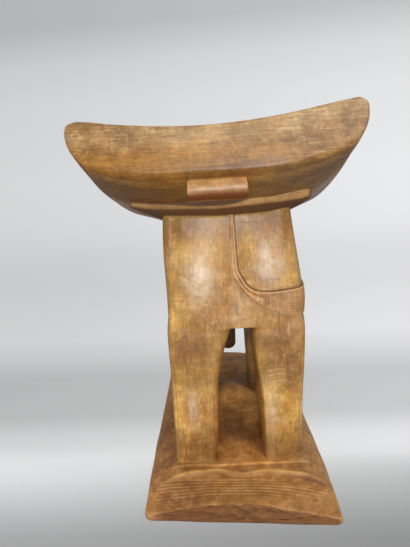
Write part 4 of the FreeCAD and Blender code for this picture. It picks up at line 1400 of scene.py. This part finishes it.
# %% Finishes
honey = wood_finish("honey_wood_rubbed", (226, 192, 130), (202, 153, 74), (166, 112, 42), (104, 62, 24), 0.22,
                    UPRIGHT_GRAIN, rump_marks)
tail_wood = wood_finish("honey_wood_tail", (230, 194, 142), (202, 154, 92), (172, 118, 58), (108, 66, 34), 0.12,
                        UPRIGHT_GRAIN, tail_marks)
seat_wood = wood_finish("seat_wood_dusty", (216, 190, 140), (184, 146, 95), (146, 106, 58), (92, 62, 36), 0.40,
                        LEVEL_GRAIN, seat_marks, 0.08)
ledge_wood = wood_finish("ledge_wood_tan", (206, 164, 108), (182, 134, 82), (144, 94, 52), (92, 54, 30), 0.25,
                         LEVEL_GRAIN, ledge_marks)
lug_wood = wood_finish("lug_wood_orange", (198, 158, 104), (180, 128, 70), (150, 95, 46), (96, 54, 28), 0.20,
                       LEVEL_GRAIN, lug_marks)
base_wood = wood_finish("brown_wood_base", (214, 166, 108), (186, 132, 74), (154, 102, 52), (100, 62, 34), 0.30,
                        LEVEL_GRAIN, base_marks, 0.15)
for piece, finish in ((elephant, honey), (tail, tail_wood), (seat, seat_wood), (panel, ledge_wood), (base, base_wood)):
    piece.data.materials.append(finish)
for lug_name in ("rear", "front"):
    bpy.data.objects["carved_lug_" + lug_name].data.materials.append(lug_wood)
print("finishes:", [finish.name for finish in (honey, tail_wood, seat_wood, ledge_wood, lug_wood, base_wood)])

# %% [markdown]
# ## Stage, light and camera
# The stool stands on a pale paper sweep: floor and wall in one sheet. Its tone
# drifts a little along the floor, as in the photo. A large soft lamp stands at
# the front right and a weaker one at the left. The camera has the place and
# lens that were worked out from the stool's outlines.

# %% Paper sweep


def make_sweep():
    """Profile: flat floor, a quarter circle of 0.8 m, then an upright wall."""
    bend = np.linspace(0, math.pi / 2, 24)
    floor_end, radius = 2.4, 0.8
    y = np.concatenate([np.linspace(-3.0, floor_end, 30), floor_end + radius * np.sin(bend), [floor_end + radius]])
    z = np.concatenate([np.zeros(30), radius * (1 - np.cos(bend)), [4.5]])
    x = np.linspace(-4, 4, 12)
    grid = np.stack([x[None, :] + 0 * y[:, None], y[:, None] + 0 * x[None, :], z[:, None] + 0 * x[None, :]], axis=-1)
    sweep = bpy.data.meshes.new("paper_sweep")
    sweep.from_pydata(grid.reshape(-1, 3), [], grid_faces(len(y), len(x), closed=False))
    sweep.shade_smooth()
    piece = bpy.data.objects.new("paper_sweep", sweep)
    bpy.context.scene.collection.objects.link(piece)
    return piece


PAPER_TONES = [(-0.35, 150), (-0.24, 166), (-0.18, 204), (-0.10, 240), (-0.04, 228), (0.01, 206), (0.165, 203),
               (0.28, 222), (0.40, 234), (1.0, 227), (1.69, 229), (2.9, 239), (3.57, 241), (4.3, 235), (4.6, 226), (4.9, 206)]


def paper():
    """Painted light and shade on the sheet: grey tones by the way walked up it, darker to the left.
    The camera sees mostly these tones as a glow, so the lamps need not be turned up for the sheet."""
    material = bpy.data.materials.new("pale_paper")
    material.use_nodes = True
    tree = material.node_tree
    surface = tree.nodes["Principled BSDF"]
    split = add(tree, "SeparateXYZ", {}, {0: add(tree, "TexCoord").outputs["Object"]})
    walked = calc(tree, "ADD", split.outputs[1], split.outputs[2])
    tones = add(tree, "ValToRGB", {}, {"Fac": calc(tree, "DIVIDE", calc(tree, "ADD", walked, 0.35), 5.25)})
    stops = tones.color_ramp.elements
    stops[1].position = 1.0
    stops[0].color, stops[1].color = colour(135, 135, 136), colour(200, 201, 203)
    for place, grey in PAPER_TONES[1:-1]:
        stops.new((place + 0.35) / 5.25).color = colour(grey, grey + 1, grey + 2)
    side = calc(tree, "DIVIDE", split.outputs[0], calc(tree, "ADD", walked, 0.9))
    near = ramp(tree, walked, -0.06, -0.16)
    shade = mix(tree, near, ramp(tree, side, -0.5, 0.45, 0.86, 1.08), ramp(tree, side, -0.5, 0.45, 1.14, 0.80))
    tone = add(tree, "VectorMath", {"operation": "SCALE"}, {0: tones.outputs[0], "Scale": shade}).outputs[0]
    feed(tree, surface.inputs["Base Color"], (0.42, 0.42, 0.43, 1.0))
    surface.inputs["Roughness"].default_value = 0.9
    surface.inputs["Specular IOR Level"].default_value = 0.2
    glow = add(tree, "Emission", {}, {"Color": tone, "Strength": 1.0})
    seen = calc(tree, "MULTIPLY", add(tree, "LightPath").outputs["Is Camera Ray"], 0.85)
    both = add(tree, "MixShader", {}, {0: seen, 1: surface.outputs[0], 2: glow.outputs[0]})
    feed(tree, tree.nodes["Material Output"].inputs["Surface"], both.outputs[0])
    return material


sweep = make_sweep()
sweep.data.materials.append(paper())
print("sweep:", len(sweep.data.polygons), "faces")

# %% Lights and camera


def soft_lamp(name, place, aim, size, power):
    """A square area lamp at a place, turned to face the aim."""
    import mathutils
    light = bpy.data.lights.new(name, "AREA")
    light.size, light.energy = size, power
    lamp = bpy.data.objects.new(name, light)
    lamp.location = place
    lamp.rotation_euler = (mathutils.Vector(aim) - mathutils.Vector(place)).to_track_quat("-Z", "Y").to_euler()
    bpy.context.scene.collection.objects.link(lamp)


def make_camera():
    """Yaw, pitch and roll give the three axes of the camera's turn."""
    import mathutils
    yaw, pitch, roll = -0.064, 0.199, -0.061
    ahead = np.array([math.sin(yaw) * math.cos(pitch), math.cos(yaw) * math.cos(pitch), -math.sin(pitch)])
    right = np.array([math.cos(yaw), -math.sin(yaw), 0.0])
    up = np.cross(right, ahead)
    turned_right = math.cos(roll) * right + math.sin(roll) * up
    turned_up = -math.sin(roll) * right + math.cos(roll) * up
    camera = bpy.data.objects.new("photo_view", bpy.data.cameras.new("photo_view"))
    camera.matrix_world = mathutils.Matrix(((*turned_right,), (*turned_up,), (*-ahead,))).transposed().to_4x4()
    camera.location = (0.00999, -0.65504, 0.37187)
    camera.data.lens = 28.96
    camera.data.sensor_width = 36
    camera.data.clip_start = 0.01
    bpy.context.scene.collection.objects.link(camera)
    bpy.context.scene.camera = camera
    return camera


soft_lamp("key_lamp", (0.9, -1.5, 0.9), (0, 0, 0.2), 0.8, 14)
soft_lamp("front_lamp", (0.08, -1.8, 0.2), (0, 0, 0.25), 0.4, 9)
soft_lamp("left_lamp", (-1.3, -0.9, 0.6), (0, 0, 0.2), 0.8, 5)
world = bpy.data.worlds.new("soft_room")
bpy.context.scene.world = world
world.use_nodes = True
world.node_tree.nodes["Background"].inputs[0].default_value = (1.0, 0.97, 0.93, 1.0)
world.node_tree.nodes["Background"].inputs[1].default_value = 0.38
make_camera()
bpy.context.scene.view_settings.view_transform = "Standard"
print("camera and lights set")
